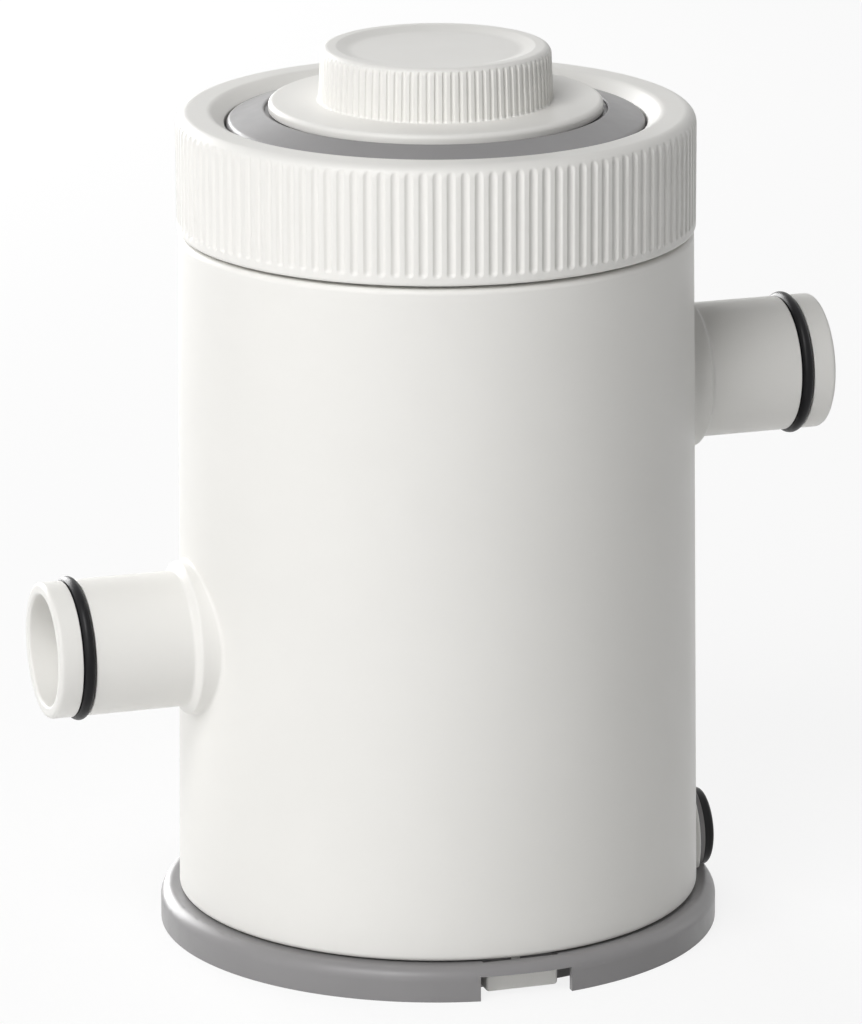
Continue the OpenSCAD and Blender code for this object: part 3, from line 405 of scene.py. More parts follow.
def piece(
    name: str,
    sheets: list[Sheet],
    body: Body,
    slot: Slot,
    paint: Paintbox,
    stands_for: tuple[str, ...] = (),
    sharp: float = 40.0,
) -> bpy.types.Object:
    """Makes one piece of the object from its grids.

    Args:
        name: Name of the piece.
        sheets: Its grids, in millimetres.
        body: The body it rides on.
        slot: The slot of its finish.
        paint: Where its material comes from.
        stands_for: The frame's nodes that it replaces.
        sharp: Edges that bend by more than this, in degrees, shade sharp.

    Returns:
        The finished object.
    """
    points, quads, triangles = welded(sheets)
    mesh = bpy.data.meshes.new(name)
    mesh.from_pydata((points * MM).tolist(), [], quads.tolist() + triangles.tolist())
    rim = bmesh.new()
    rim.from_mesh(mesh)
    open_edges = sum(1 for e in rim.edges if not e.is_manifold)
    bmesh.ops.recalc_face_normals(rim, faces=rim.faces)
    rim.to_mesh(mesh)
    rim.free()
    mesh.polygons.foreach_set("use_smooth", np.ones(len(mesh.polygons), bool))
    mesh.set_sharp_from_angle(angle=math.radians(sharp))
    mesh.materials.append(paint.get(slot))
    made = bpy.data.objects.new(name, mesh)
    bpy.context.scene.collection.objects.link(made)
    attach(made, body.value)
    if stands_for:
        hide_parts(*stands_for)
    log.info("%s: %d faces, %d open edges", name, len(mesh.polygons), open_edges)
    return made


@dataclass
class Thread:
    """A helical ridge with tapered ends.

    Args:
        root: Radius at its foot.
        crest: Radius at its top.
        turns: Length in turns.
        foot_w: Width at its foot.
        top_w: Width at its top.
        taper_steps: Rings over which an end sinks.
        least: Share of the height that is left at an end.
        flank: Share of the height at which the flank bends, bend_out outside the top's
            edge. The flat starts bend_in inside that edge.
    """

    root: float
    crest: float
    turns: float
    foot_w: float = 3.0
    top_w: float = 1.7
    steps_a_turn: int = 60
    taper_steps: float = 6.0
    least: float = 0.12
    flank: float = 0.85
    bend_out: float = 0.25
    bend_in: float = 0.15

    def sheet(self, start: float) -> list[Sheet]:
        """The ridge as a tube of six-cornered rings, with a cap at each end.

        Ring i of n stands at the angle start + 2 pi turns i / n and lead turns i / n above
        the thread's start, and its top sinks towards the foot over the last rings.

        Args:
            start: Angle of its start, in radians.

        Returns:
            The ridge's grid and caps.
        """
        steps = int(self.turns * self.steps_a_turn)
        i = np.arange(steps + 1)
        taper = np.clip(np.minimum(i, steps - i) / self.taper_steps, self.least, 1.0)
        foot = np.full(steps + 1, self.root)
        top = self.root + (self.crest - self.root) * taper
        mid = self.root + (self.crest - self.root) * taper * self.flank
        angle = start + i * TURN * self.turns / steps
        height = THREAD_Z + THREAD_LEAD * self.turns * i / steps
        radii = np.stack([foot, mid, top, top, mid, foot], 1)
        w, t = self.foot_w / 2.0, self.top_w / 2.0
        half = np.array([w, t + self.bend_out, t - self.bend_in])
        rise = np.concatenate([-half, half[::-1]])
        x, y = radii * np.cos(angle)[:, None], radii * np.sin(angle)[:, None]
        return capped(np.stack([x, y, height[:, None] + rise[None]], -1))


def plate(
    half: tuple[float, float], corner: float, layers: np.ndarray, count: int = 12
) -> np.ndarray:
    """A rounded rectangle that shrinks through its layers, for a plate with soft edges.

    Each layer (inset, depth) is the rectangle's outline moved in by inset and laid at depth.

    Args:
        half: Half width and half height of the outline.
        corner: Radius of its corners.
        layers: Rows of inset and depth.
        count: Points of each corner's arc.

    Returns:
        A grid of points (across, up, depth), layer by outline.
    """
    least_radius = 0.02
    t = np.linspace(0.0, TURN / 4.0, count)
    turn = np.concatenate([t + k * TURN / 4.0 for k in range(4)])
    sign_x = np.repeat([1.0, -1.0, -1.0, 1.0], count)
    sign_y = np.repeat([1.0, 1.0, -1.0, -1.0], count)
    inset = layers[:, 0][:, None]
    r = np.maximum(corner - inset, least_radius)
    x = sign_x * (half[0] - corner - np.maximum(inset - corner, 0.0)) + r * np.cos(turn)
    y = sign_y * (half[1] - corner - np.maximum(inset - corner, 0.0)) + r * np.sin(turn)
    return np.stack([x, y, layers[:, 1][:, None] + 0.0 * x], -1)


@dataclass
class Part:
    """A part of the pump.

    Args:
        paint: Where its materials come from.
    """

    paint: Paintbox


# White housing


@dataclass
class Housing(Part):
    """The drawn-in cylinder with its neck, deck, spigots, switch pad and catches.

    Args:
        draft: How far the side leans in.
        hole: Radius of the hole in the wall under a spigot.
        patch: Columns of a spigot's window to each side of its middle.
        window_half: Half of a window's height; rows is the number of its rows.
        fill_power: Spread of the rings that fill a window.
        pad_r: Radius of the switch's pad, which reaches from pad_back to pad_face.
        catch_half: Half width and half height of a catch.
        catch_depths: Distances of its two sides from the pump's axis.
    """

    radius: float = 62.5
    draft: float = math.radians(0.58)
    wall: float = 3.0
    foot_z: float = 8.4
    deck_z: float = 58.0
    deck_top: float = 61.0
    shoulder_z: float = 169.5
    neck_r: float = 54.8
    neck_in: float = 51.5
    neck_top: float = 187.6
    volute_r: float = 27.0
    volute_wall: float = 2.5
    volute_top: float = 83.0
    deck_hole: float = 14.5
    spigot_r: float = 16.13
    bore: float = 13.25
    hole: float = 13.55
    flare_r: float = 18.2
    flare_foot: float = 2.0
    flare_l: float = 1.2
    ring_w: float = 3.2
    columns: int = 240
    patch: int = 15
    window_half: float = 23.5
    window_rings: int = 7
    fill_power: float = 0.8
    rows: int = 28
    throat_z: float = 161.5
    spigot_end: float = 50.0
    pad_r: float = 15.3
    pad_back: float = 57.0
    pad_face: float = 62.3
    catch_z: float = 3.0
    catch_half: tuple[float, float] = (8.8, 2.1)
    catch_depths: tuple[float, float] = (58.0, 62.8)
    leg_z: float = 7.0
    leg_half: tuple[float, float] = (1.0, 5.0)
    leg_depths: tuple[float, float] = (57.6, 58.3)

    def side(self, z: np.ndarray | float) -> np.ndarray | float:
        """Radius of the outer side at height z: radius - z tan(draft)."""
        return self.radius - z * math.tan(self.draft)

    def wall_x(self, y: np.ndarray, z: np.ndarray) -> np.ndarray:
        """Distance of the outer side from the YZ plane: the root of side(z)^2 - y^2."""
        return np.sqrt(self.side(z) ** 2 - y**2)

    def rings(self) -> tuple[np.ndarray, list[tuple[int, int]]]:
        """The closed profile of the wall, and the rows of its four spigot windows.

        Returns:
            The profile's rows of radius and height, and first and last row of each window:
            outlet outside, inlet outside, inlet inside, outlet inside.
        """
        s, w = self.side, self.wall
        # Where the rounded foot and head point at the plain side; these points are cut off
        under, over = 40.0, 150.0
        under_deck, on_deck = self.deck_z, self.deck_top
        cup, cup_top = self.volute_r, self.volute_top
        low_window = OUTLET_Z - self.window_half, OUTLET_Z + self.window_half
        high_window = INLET_Z - self.window_half, INLET_Z + self.window_half
        low = soften(
            [
                (s(under_deck) - w, under_deck, 0.0),
                (s(self.foot_z) - w, self.foot_z, 0.5),
                (s(self.foot_z), self.foot_z, 1.1),
                (s(under), under, 0.0),
            ]
        )[1:-1]
        below = np.linspace(30.0, low_window[0], 4)[:-1]
        up = np.concatenate(
            [
                below,
                np.linspace(*low_window, self.rows + 1),
                np.linspace(*high_window, self.rows + 1),
                [160.0],
            ]
        )
        side = np.stack([s(up), up], 1)
        head = soften(
            [
                (s(over), over, 0.0),
                (s(self.shoulder_z), self.shoulder_z, 1.4),
                (self.neck_r, self.shoulder_z, 0.8),
                (self.neck_r, self.neck_top, 0.5),
                (self.neck_in, self.neck_top, 0.5),
                (self.neck_in, 167.0, 1.0),
                (s(self.throat_z + 0.5) - w, self.throat_z, 1.0),
                (s(over) - w, over, 0.0),
            ]
        )[1:-1]
        down = np.concatenate(
            [
                np.linspace(*high_window[::-1], self.rows + 1),
                np.linspace(low_window[1], on_deck + 0.05, self.rows + 1),
            ]
        )
        inner = np.stack([s(down) - w, down], 1)
        deck = np.array(
            [
                (s(on_deck) - w, on_deck),
                (cup + self.volute_wall, on_deck),
                (cup + self.volute_wall, cup_top),
                (cup, cup_top),
                (cup, on_deck),
                (self.deck_hole, on_deck),
                (self.deck_hole, under_deck),
                (s(under_deck) - w, under_deck),
            ]
        )
        profile = np.concatenate([low, side, head, inner, deck])
        outside = len(low) + len(below)
        inside = len(low) + len(side) + len(head)
        step = self.rows + 1
        firsts = (outside, outside + step, inside, inside + step)
        return profile, [(first, first + self.rows) for first in firsts]

    def window(
        self, grid: np.ndarray, rows: tuple[int, int], cols: np.ndarray, z: float, inset: float
    ) -> np.ndarray:
        """Fills a rectangular window of the wall with rings that shrink to the spigot's hole.

        A ring's point lies on the line, seen along X, from the window's edge to the hole's
        circle at the same angle, and its x is the wall's.

        Args:
            grid: The wall's points.
            rows: First and last row of the window.
            cols: Columns of the window, in order.
            z: Height of the hole's middle.
            inset: 0 on the outer side, the wall's thickness on the inner side.

        Returns:
            A grid of rings, closed along its columns.
        """
        r0, r1 = rows
        edge = np.concatenate(
            [
                grid[r0, cols[:-1]],
                grid[r0:r1, cols[-1]],
                grid[r1, cols[:0:-1]],
                grid[r1:r0:-1, cols[0]],
            ]
        )
        side = np.sign(edge[0, 0])
        y, up = edge[:, 1], edge[:, 2] - z
        angle = np.arctan2(up, y)
        t = np.linspace(0.0, 1.0, self.window_rings)[:, None] ** self.fill_power
        yy = y + (self.hole * np.cos(angle) - y) * t
        zz = z + up + (self.hole * np.sin(angle) - up) * t
        xx = np.sqrt((self.side(zz) - inset) ** 2 - yy**2)
        rings = np.stack([side * xx, yy, zz], -1)
        rings[0] = edge
        return rings

    def sheets(self) -> list[Sheet]:
        """The wall with its four windows and the holes through it."""
        profile, windows = self.rings()
        angles = columns(self.columns)
        grid = revolve(profile, angles)
        n, m = grid.shape[:2]
        mask = np.ones((n, m), bool)
        out: list[Sheet] = []
        right = np.arange(-self.patch, self.patch + 1) % m
        left = (right + m // 2) % m
        plan = [
            (windows[0], left, OUTLET_Z, 0.0),
            (windows[1], right, INLET_Z, 0.0),
            (windows[2], right, INLET_Z, self.wall),
            (windows[3], left, OUTLET_Z, self.wall),
        ]
        ends = []
        for rows, cols, z, inset in plan:
            mask[rows[0] : rows[1], cols[:-1]] = False
            rings = self.window(grid, rows, cols, z, inset)
            out.append(Sheet(rings, close_columns=True))
            ends.append(rings[-1])
        for pair in ((ends[0], ends[3]), (ends[1], ends[2])):
            turned = [p[np.argsort(np.arctan2(p[:, 2] - p[:, 2].mean(), p[:, 1]))] for p in pair]
            out.append(Sheet(np.stack(turned), close_columns=True))
        index = np.arange(n * m).reshape(n, m)
        rows_next, cols_next = np.roll(index, -1, 0), np.roll(index, -1, 1)
        both = np.roll(rows_next, -1, 1)
        quads = np.stack([index, cols_next, both, rows_next], -1)[mask]
        out.append(LooseSheet(grid.reshape(1, -1, 3), quads=quads))
        return out

    def spigot(self, reach: float, z: float, side: float) -> list[Sheet]:
        """One spigot with its flare, ring groove, mouth and bore.

        The profile (radius, distance) is turned round the spigot's axis. Where follow is 1
        the distance counts from the body's side at that point, so that the flare's foot
        keeps to the cylinder, and where it is 0 it counts from the pump's axis.

        Args:
            reach: Distance of the mouth from the pump's axis.
            z: Height of the spigot's axis.
            side: 1 towards +X and -1 towards -X.

        Returns:
            The spigot's grid, closed both ways.
        """
        wall = self.side(z)
        top = wall + self.flare_foot
        behind = self.bore + 2.4
        skirt = np.array([(0.9, -1.2), (0.7, -0.03), (0.32, 0.09), (0.1, 0.28), (0.01, 0.6)])
        skirt[:, 0] += self.flare_r
        groove = reach - RING_INSET
        near, far = groove - self.ring_w / 2, groove + self.ring_w / 2
        body = soften(
            [
                (self.flare_r, wall + 1.2, 0.0),
                (self.flare_r, top, 1.2),
                (self.spigot_r, top + self.flare_l, 0.9),
                (self.spigot_r, near, 0.25),
                (RING_SEAT, near, 0.25),
                (RING_SEAT, far, 0.25),
                (self.spigot_r, far, 0.25),
                (self.spigot_r, reach, 1.0),
                (self.bore, reach, 0.7),
                (self.bore, self.spigot_end, 0.5),
                (behind, self.spigot_end, 0.5),
                (behind, wall - 2.0, 0.0),
            ]
        )
        profile = np.concatenate([skirt, body])
        follow = np.concatenate([np.ones(len(skirt)), np.zeros(len(body))])[:, None]
        angle = columns(112)
        r = profile[:, 0][:, None]
        y, up = r * np.cos(angle), r * np.sin(angle)
        x = profile[:, 1][:, None] + follow * self.wall_x(y, z + up)
        return [Sheet(np.stack([side * x, y, z + up], -1), True, True)]

    def pad(self) -> list[Sheet]:
        """The flat pad under the switch: a disc with a soft edge, cut off at the body's foot."""
        corners = [(self.pad_r, self.pad_back, 0.0), (self.pad_r, self.pad_face, 0.9)]
        layers = soften([*corners, (0.0, self.pad_face, 0.0)])
        disc = turn_to_x(revolve(layers, columns(96)), SWITCH_Z)
        disc[..., 2] = np.maximum(disc[..., 2], self.foot_z + 0.02)
        return [Sheet(disc, close_columns=True), fan(disc[0])]

    def catches(self) -> list[Sheet]:
        """The two catches that show in the base's slots: plates with soft edges and a leg."""
        a, b = self.catch_depths
        head_layers = soften([(1.2, a, 0.0), (0.0, a, 0.3), (0.0, b, 0.9), (1.2, b, 0.0)])
        a, b = self.leg_depths
        leg_layers = soften([(0.4, a, 0.0), (0.0, a, 0.1), (0.0, b, 0.1), (0.4, b, 0.0)])
        head = plate(self.catch_half, 0.8, head_layers)
        leg = plate(self.leg_half, 0.4, leg_layers)
        out = []
        for turn in (-1.0, 1.0):
            for part, z in ((head, self.catch_z), (leg, self.leg_z)):
                out += capped(np.stack([part[..., 0], turn * part[..., 2], z + part[..., 1]], -1))
        return out

    def build(self) -> bpy.types.Object:
        """Makes the housing as one piece."""
        sheets = self.sheets()
        sheets += self.spigot(INLET_REACH, INLET_Z, 1.0)
        sheets += self.spigot(OUTLET_REACH, OUTLET_Z, -1.0)
        sheets += self.pad() + self.catches()
        thread = Thread(self.neck_r - THREAD_SUNK, self.neck_r + THREAD_PROUD, 0.9)
        sheets += thread.sheet(0.0) + thread.sheet(math.pi)
        return piece("housing_shell", sheets, Body.PUMP, Slot.WHITE, self.paint, ("housing",))


# Collar, lid and knob


def grooved(radius: float, count: int, offsets: np.ndarray) -> tuple[np.ndarray, np.ndarray]:
    """Columns that stand close together at the edges of evenly spread grooves.

    Args:
        radius: Radius at which the offsets are measured.
        count: Number of grooves.
        offsets: Distances of one groove's columns from its middle, in millimetres.

    Returns:
        The columns' angles and each one's distance from the middle of its groove.
    """
    middles = np.arange(count)[:, None] * TURN / count
    angles = (middles + offsets[None] / radius).reshape(-1)
    return angles, np.tile(offsets, count)


def scooped(away: np.ndarray, along: np.ndarray, half: float) -> np.ndarray:
    """Depth of a groove with a round end, from 0 at its edge to 1 along its middle.

    The depth is 1 - (away / half)^2 - rest^2, kept above 0, where rest is the share of the
    round end that is still to go.

    Args:
        away: Distances across the groove from its middle.
        along: Distances from the groove's end, below 0 outside it.
        half: Half of the groove's width, and the length of its round end.

    Returns:
        The shares of the full depth.
    """
    rest = np.clip(1.0 - along / half, 0.0, None)
    return np.clip(1.0 - (away / half) ** 2 - rest**2, 0.0, None)


def sunk(grid: np.ndarray, angles: np.ndarray, depth: np.ndarray) -> np.ndarray:
    """Moves each point of a turned grid towards its axis by depth, and hands the grid back."""
    grid[..., 0] -= depth * np.cos(angles)
    grid[..., 1] -= depth * np.sin(angles)
    return grid


@dataclass
class Collar(Part):
    """The ribbed ring that screws the lid down.

    Args:
        inner: Radius inside, at the thread.
        lip: Radius of the opening, and mouth that of the funnel above it.
        ledge: Height of the lip's underside, which holds the lid.
        flute_low: Height at which the flutes end.
        shoulder: Rounding of the top edge.
    """

    radius: float = 61.2
    foot: float = 170.3
    top: float = 198.3
    inner: float = 57.5
    lip: float = 49.7
    mouth: float = 51.95
    ledge: float = 192.8
    flutes: int = 120
    flute_half: float = 1.03
    flute_depth: float = 0.55
    flute_low: float = 172.3
    shoulder: float = 3.4

    def profile(self) -> np.ndarray:
        """The ring's closed profile, with rows set close where the flutes end."""
        near = np.array([0.0, 0.12, 0.3, 0.55, 0.85, 1.2, 2.5])
        rows = np.concatenate([self.flute_low + near, np.linspace(178.0, 193.0, 4)])
        side = np.stack([np.full_like(rows, self.radius), rows], 1)
        low = soften(
            [
                (self.inner, self.foot, 0.0),
                (self.radius, self.foot, 0.8),
                (self.radius, self.flute_low - 0.1, 0.0),
            ]
        )
        edge = soften(
            [
                (self.radius, 190.0, 0.0),
                (self.radius, self.top, self.shoulder),
                (55.0, self.top, 0.0),
            ],
            22,
        )
        high = soften(
            [
                (57.0, self.top, 0.0),
                (self.mouth + 1.2, self.top, 2.6),
                (self.lip, self.top - 2.6, 0.7),
                (self.lip, self.ledge, 0.3),
                (self.inner, self.ledge, 0.5),
                (self.inner, self.foot, 0.0),
            ]
        )
        return np.concatenate([low[:-1], side, edge[1:-1], high[1:-1]])

    def build(self) -> bpy.types.Object:
        """Makes the collar with its flutes and its two thread starts.

        A flute's floor lies depth (1 - (away / half)^2) inside the ring's side, and rises in
        a round end at its foot. Where the shoulder lies deeper than the floor, it stays.
        """
        steps = np.array([-1.6, -1.14, -1.03, -0.8, -0.42, 0.0, 0.42, 0.8, 1.03, 1.14])
        angles, away = grooved(self.radius, self.flutes, steps)
        profile = self.profile()
        r, z = profile[:, 0], profile[:, 1]
        on_side = (r > self.radius - self.flute_depth) & (z > self.flute_low)
        share = scooped(away[None], (z - self.flute_low)[:, None], self.flute_half)
        floor = self.radius - self.flute_depth * share
        depth = np.clip(r[:, None] - floor, 0.0, None) * on_side[:, None]
        sheets = [Sheet(sunk(revolve(profile, angles), angles, depth), True, True)]
        thread = Thread(self.inner + THREAD_SUNK, self.inner - THREAD_PROUD, 0.8)
        sheets += thread.sheet(TURN / 4.0) + thread.sheet(TURN * 3.0 / 4.0)
        return piece("collar_ring", sheets, Body.COLLAR, Slot.WHITE, self.paint, ("collar",), 65.0)


@dataclass
class Lid(Part):
    """The grey lid with its recess, the knob's sleeve and the ring that holds the cartridge.

    Args:
        corners: Radius, height and rounding of each corner of its closed profile.
    """

    corners: tuple[Corner, ...] = (
        (5.9, 197.9, 0.3),
        (13.8, 197.9, 0.3),
        (13.8, 205.4, 0.3),
        (16.0, 205.4, 0.4),
        (16.0, 197.9, 0.4),
        (40.3, 197.9, 0.3),
        (40.3, 199.0, 0.45),
        (49.2, 196.2, 1.3),
        (49.2, 192.6, 0.4),
        (56.0, 192.6, 0.5),
        (56.0, 188.4, 0.3),
        (51.2, 188.4, 0.3),
        (51.2, 182.4, 0.6),
        (46.7, 182.4, 0.4),
        (46.7, 193.7, 1.0),
        (37.8, 195.4, 1.0),
        (26.5, 195.4, 0.5),
        (26.5, 184.7, 0.4),
        (24.3, 184.7, 0.4),
        (24.3, 195.4, 0.5),
        (8.1, 195.4, 0.5),
        (8.1, 186.4, 0.4),
        (5.9, 186.4, 0.4),
    )

    def build(self) -> bpy.types.Object:
        """Makes the lid by turning its closed profile."""
        grid = revolve(soften(list(self.corners), loop=True), columns(192))
        sheets = [Sheet(grid, True, True)]
        return piece("lid_disc", sheets, Body.LID, Slot.GREY, self.paint, ("lid",))


@dataclass
class Knob(Part):
    """The ribbed knob with its flange and its shallow dish.

    Args:
        foot_r: Radius of the grip at its foot, and head_r at its head.
        grip_low: Height of the grip's lowest row, and grip_high of its highest.
        ceiling: Height of the hollow under the knob.
        shoulder: Rounding of the grip's top edge.
    """

    flange_r: float = 39.35
    flange_z: float = 198.3
    flange_top: float = 200.8
    foot_r: float = 27.6
    head_r: float = 27.05
    top: float = 213.5
    dish: float = 212.6
    grip_low: float = 201.9
    grip_high: float = 208.4
    ceiling: float = 210.2
    ribs: int = 90
    groove_half: float = 0.54
    groove_depth: float = 0.42
    shoulder: float = 3.0

    def profile(self) -> np.ndarray:
        """The knob's profile from the middle of its dish to the foot of its pin."""
        head = soften(
            [
                (0.0, self.dish, 0.0),
                (20.2, self.dish, 7.0),
                (23.4, self.top, 2.0),
                (self.head_r, self.top, self.shoulder),
                (self.head_r + 0.25, self.grip_high, 0.0),
            ],
            22,
        )
        rows = np.array([self.grip_high, 206.5, 204.5, 202.8, self.grip_low])
        side = np.stack([self.side(rows), rows], 1)
        foot = soften(
            [
                (self.side(self.grip_low), self.grip_low, 0.0),
                (self.foot_r, self.flange_top, 0.6),
                (self.flange_r, self.flange_top, 1.1),
                (self.flange_r, self.flange_z, 0.3),
                (24.6, self.flange_z, 0.4),
                (24.6, self.ceiling, 0.8),
                (17.5, self.ceiling, 0.4),
                (17.5, 201.2, 0.3),
                (16.3, 201.2, 0.3),
                (16.3, self.ceiling, 0.4),
                (3.0, self.ceiling, 0.4),
                (3.0, 204.2, 0.4),
                (0.0, 204.2, 0.0),
            ]
        )
        return np.concatenate([head[:-1], side, foot[1:]])

    def side(self, z: np.ndarray | float) -> np.ndarray | float:
        """Radius of the grip at height z, drawn in evenly from its foot to its head."""
        slope = (self.foot_r - self.head_r) / (self.top - self.flange_top)
        return self.head_r + (self.top - z) * slope

    def build(self) -> bpy.types.Object:
        """Makes the knob with its grooves.

        A groove's floor lies depth sqrt(1 - (away / half)^2) inside the grip's side. Where
        the shoulder lies deeper than the floor, it stays.
        """
        steps = np.array([-0.965, -0.6, -0.54, -0.4, -0.2, 0.0, 0.2, 0.4, 0.54, 0.6])
        angles, away = grooved(self.foot_r, self.ribs, steps)
        profile = self.profile()
        r, z = profile[:, 0], profile[:, 1]
        side = self.side(z)
        on_side = (r > self.head_r - self.groove_depth) & (r < self.foot_r + 0.4)
        on_side &= z > self.flange_top + 0.01
        share = np.clip(1.0 - (away[None] / self.groove_half) ** 2, 0.0, None)
        floor = side[:, None] - self.groove_depth * np.sqrt(share)
        depth = np.clip(np.minimum(r, side)[:, None] - floor, 0.0, None) * on_side[:, None]
        sheets = [Sheet(sunk(revolve(profile, angles), angles, depth), close_columns=True)]
        return piece("air_knob", sheets, Body.KNOB, Slot.WHITE, self.paint, ("valve_knob",), 60.0)


# Rings and switch


@dataclass
class SealRing(Part):
    """The rubber ring in a spigot's groove.

    Args:
        middle: Radius of the circle that the cord follows.
        cord: Radius of the cord.
    """

    middle: float = 15.6
    cord: float = 1.45

    def build(self, name: str, node: str, reach: float, z: float, side: float) -> bpy.types.Object:
        """Makes one ring: a round cord whose inner side is pressed flat on its seat.

        Args:
            name: Name of the piece.
            node: The frame's node that it replaces.
            reach: Distance of the spigot's mouth from the pump's axis.
            z: Height of the spigot's axis.
            side: 1 towards +X and -1 towards -X.

        Returns:
            The ring.
        """
        t = columns(28)
        r = np.maximum(self.middle + self.cord * np.cos(t), RING_SEAT)
        profile = np.stack([r, reach - RING_INSET + self.cord * np.sin(t)], 1)
        grid = turn_to_x(revolve(profile, columns(128)), z, side)
        return piece(name, [Sheet(grid, True, True)], Body.PUMP, Slot.RUBBER, self.paint, (node,))


@dataclass
class Switch(Part):
    """The round switch: a bezel with a soft edge on a barrel, and its push button.

    Args:
        barrel: Radius, distance from the pump's axis and rounding of the corners of the
            bezel and barrel.
        front: Distance of the button's middle from the pump's axis.
        dome_r: Radius of the domed front, which falls by dome at its edge.
    """

    barrel: tuple[Corner, ...] = (
        (0.0, 58.5, 0.0),
        (7.6, 58.5, 0.4),
        (7.6, 67.8, 0.5),
        (9.5, 67.8, 1.3),
        (9.5, 64.7, 0.15),
        (8.8, 64.7, 0.0),
        (8.8, 41.0, 0.6),
        (4.4, 41.0, 0.3),
        (4.4, 35.0, 0.4),
        (1.3, 35.0, 0.2),
        (1.3, 40.5, 0.2),
        (0.0, 40.5, 0.0),
    )
    front: float = 68.3
    dome_r: float = 6.6
    dome: float = 0.3

    def turned(self, name: str, profile: np.ndarray, body: Body, node: str) -> bpy.types.Object:
        """Turns a profile round the switch's axis and makes it a black piece."""
        sheet = Sheet(turn_to_x(revolve(profile, columns(96)), SWITCH_Z), close_columns=True)
        return piece(name, [sheet], body, Slot.BLACK, self.paint, (node,))

    def build(self) -> list[bpy.types.Object]:
        """Makes the bezel with its barrel, and the push button with its domed front."""
        t = np.linspace(0.0, 1.0, 8)
        dome = np.stack([self.dome_r * t, self.front - self.dome * t**2], 1)
        edge = soften([(6.7, 67.99, 0.0), (7.4, 67.9, 0.6), (7.4, 61.1, 0.3), (0.0, 61.1, 0.0)])
        push = np.concatenate([dome, edge])
        return [
            self.turned("switch_bezel", soften(list(self.barrel)), Body.PUMP, "switch_body"),
            self.turned("switch_push", push, Body.BUTTON, "switch_button"),
        ]


@dataclass
class Kept(Part):
    """The frame's own nodes that stay, each with the finish of its slot."""

    def build(self) -> None:
        """Gives every node the material of its slot in the record."""
        for row in frame["record"]["subparts"]:
            node = frame["nodes"][row["node"]]
            node.data.materials.clear()
            node.data.materials.append(self.paint.get(Slot(row["material_slot"])))


# Studio

AIM_Z = 0.1


@dataclass(frozen=True)
class Lamp:
    """A large soft lamp that faces the pump.

    Args:
        name: Its name.
        azimuth: Where it stands, in degrees from the camera's side, positive to the right.
        elevation: Its height above the horizon, in degrees.
        width: Width of its square, in metres.
        level: What a white surface that faces it sends back, where 1 is white.
        distance: Its distance from the pump, in metres.
    """

    name: str
    azimuth: float
    elevation: float
    width: float
    level: float
    distance: float = 1.5

    def build(self, camera_azimuth: float) -> bpy.types.Object:
        """Makes the lamp; a power of level pi^2 distance^2 gives about that level."""
        light = bpy.data.lights.new(self.name, "AREA")
        light.size = self.width
        light.energy = self.level * math.pi**2 * self.distance**2
        made = bpy.data.objects.new(self.name, light)
        a, e = math.radians(self.azimuth) + camera_azimuth, math.radians(self.elevation)
        aim = Vector((0.0, 0.0, AIM_Z))
        away = Vector((math.sin(a) * math.cos(e), -math.cos(a) * math.cos(e), math.sin(e)))
        made.location = aim + away * self.distance
        made.rotation_euler = away.to_track_quat("Z", "Y").to_euler()
        bpy.context.scene.collection.objects.link(made)
        return made


def direct_rays(tree: bpy.types.NodeTree) -> bpy.types.NodeSocket:
    """A socket that holds 1 on camera, glossy and transmission rays, and 0 on the rest."""
    path = add(tree, "ShaderNodeLightPath")
    value = path.outputs["Is Camera Ray"]
    for kind in ("Is Glossy Ray", "Is Transmission Ray"):
        larger = add(tree, "ShaderNodeMath")
        larger.operation = "MAXIMUM"
        tree.links.new(value, larger.inputs[0])
        tree.links.new(path.outputs[kind], larger.inputs[1])
        value = larger.outputs["Value"]
    return value


def mixed(
    tree: bpy.types.NodeTree,
    share: bpy.types.NodeSocket | float,
    first: bpy.types.NodeSocket,
    second: bpy.types.NodeSocket,
) -> bpy.types.NodeSocket:
    """Mixes two shaders; share is the second one's, as a number or as a socket."""
    mix = add(tree, "ShaderNodeMixShader")
    if isinstance(share, float):
        mix.inputs["Fac"].default_value = share
    else:
        tree.links.new(share, mix.inputs["Fac"])
    tree.links.new(first, mix.inputs[1])
    tree.links.new(second, mix.inputs[2])
    return mix.outputs["Shader"]


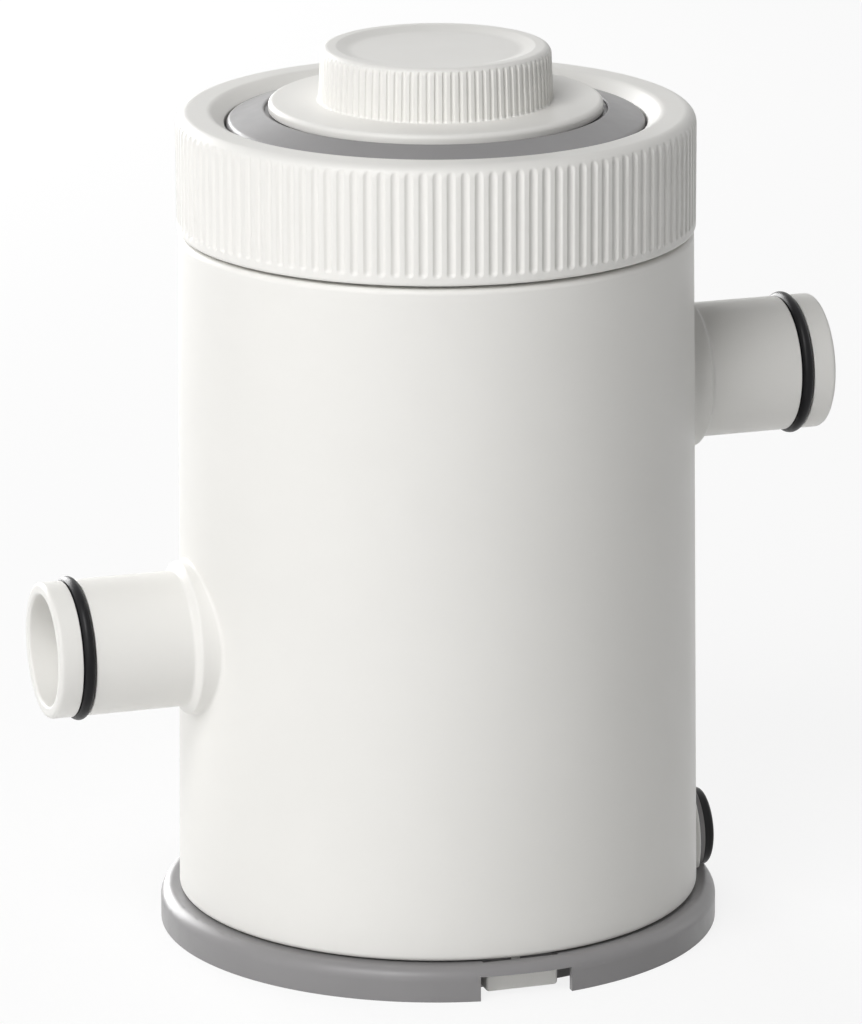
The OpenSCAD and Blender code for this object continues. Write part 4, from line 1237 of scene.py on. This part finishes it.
@dataclass
class Studio:
    """The camera, the floor, the lamps and the white surroundings.

    Args:
        focal_px: Focal length in pixels of a picture whose longer side is frame_long.
        distance: Distance of the camera from the point that it looks at, in metres.
        pitch: How far the camera looks down.
        azimuth: Where the camera stands, to the left of the front where negative.
        yaw: How far it looks past the pump's axis, and roll how far it leans.
        surround: Strength of the world's light on the object.
        shadow_share: Share of the lit floor in what the camera sees of it.
    """

    focal_px: float = 7140.0
    distance: float = 1.702
    pitch: float = math.radians(15.69)
    azimuth: float = math.radians(-18.2)
    yaw: float = math.radians(-0.05)
    roll: float = math.radians(-0.18)
    frame_long: int = 1024
    lamps: tuple[Lamp, ...] = (
        Lamp("key", -30.0, 45.0, 0.8, 0.63),
        Lamp("front", -24.0, 10.0, 0.8, 0.13),
        Lamp("left", -62.0, 12.0, 0.8, 0.07),
        Lamp("back_left", -148.0, 12.0, 0.8, 0.88),
        Lamp("right", 115.0, 14.0, 0.8, 0.09),
    )
    surround: float = 0.145
    shadow_share: float = 0.15
    floor_half: float = 6.0

    def camera(self) -> bpy.types.Object:
        """The camera at the photograph's place, looking a hair past the pump's axis."""
        data = bpy.data.cameras.new("camera")
        data.sensor_width = 36.0
        data.lens = self.focal_px * data.sensor_width / self.frame_long
        data.clip_start, data.clip_end = 0.05, 50.0
        cp, sp = math.cos(self.pitch), math.sin(self.pitch)
        place = Vector((math.sin(self.azimuth) * cp, -math.cos(self.azimuth) * cp, sp))
        heading = -self.azimuth + self.yaw
        forward = Vector((math.sin(heading) * cp, math.cos(heading) * cp, -sp))
        right = Vector((math.cos(heading), -math.sin(heading), 0.0))
        up = right.cross(forward)
        across = math.cos(self.roll) * right + math.sin(self.roll) * up
        above = math.cos(self.roll) * up - math.sin(self.roll) * right
        made = bpy.data.objects.new("camera", data)
        stand = Matrix.Translation(place * self.distance + Vector((0.0, 0.0, AIM_Z)))
        made.matrix_world = stand @ Matrix((across, above, -forward)).transposed().to_4x4()
        bpy.context.scene.collection.objects.link(made)
        bpy.context.scene.camera = made
        return made

    def floor(self) -> bpy.types.Object:
        """The pale floor: white to the camera, with the lit surface mixed in for its shadow."""
        mesh = bpy.data.meshes.new("floor")
        h = self.floor_half
        corners = [(-h, -h, 0.0), (h, -h, 0.0), (h, h, 0.0), (-h, h, 0.0)]
        mesh.from_pydata(corners, [], [(0, 1, 2, 3)])
        made = bpy.data.objects.new("floor", mesh)
        bpy.context.scene.collection.objects.link(made)
        finish = bpy.data.materials.new("floor")
        finish.use_nodes = True
        tree = finish.node_tree
        tree.nodes.clear()
        out = add(tree, "ShaderNodeOutputMaterial")
        lit = add(tree, "ShaderNodeBsdfDiffuse", {"Color": (0.9, 0.9, 0.9, 1.0)}).outputs["BSDF"]
        glow = add(tree, "ShaderNodeEmission", {"Strength": 1.0}).outputs["Emission"]
        seen = mixed(tree, self.shadow_share, glow, lit)
        tree.links.new(mixed(tree, direct_rays(tree), lit, seen), out.inputs["Surface"])
        mesh.materials.append(finish)
        return made

    def world(self) -> None:
        """White to the camera and to glossy and see-through rays, and dim to the rest."""
        world = bpy.data.worlds.new("studio")
        bpy.context.scene.world = world
        world.use_nodes = True
        tree = world.node_tree
        tree.nodes.clear()
        out = add(tree, "ShaderNodeOutputWorld")
        levels = {"Strength": self.surround}, {"Color": (1.0, 1.0, 1.0, 1.0), "Strength": 1.0}
        dim, white = [add(tree, "ShaderNodeBackground", v).outputs["Background"] for v in levels]
        tree.links.new(mixed(tree, direct_rays(tree), dim, white), out.inputs["Surface"])

    def build(self) -> None:
        """Sets the stage."""
        scene = bpy.context.scene
        for old in [o for o in scene.objects if o.type in {"LIGHT", "CAMERA"}]:
            bpy.data.objects.remove(old)
        scene.view_settings.view_transform = "Standard"
        self.camera()
        self.floor()
        self.world()
        for lamp in self.lamps:
            lamp.build(self.azimuth)


def main() -> None:
    """Builds the pump's pieces and the studio round it."""
    logging.basicConfig(level=logging.INFO, format="%(message)s")
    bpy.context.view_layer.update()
    paint = Paintbox()
    Kept(paint).build()
    Housing(paint).build()
    Collar(paint).build()
    Lid(paint).build()
    Knob(paint).build()
    ring = SealRing(paint)
    ring.build("inlet_ring", "inlet_o_ring", INLET_REACH, INLET_Z, 1.0)
    ring.build("outlet_ring", "outlet_o_ring", OUTLET_REACH, OUTLET_Z, -1.0)
    Switch(paint).build()
    Studio().build()


if __name__ == "__main__":
    main()
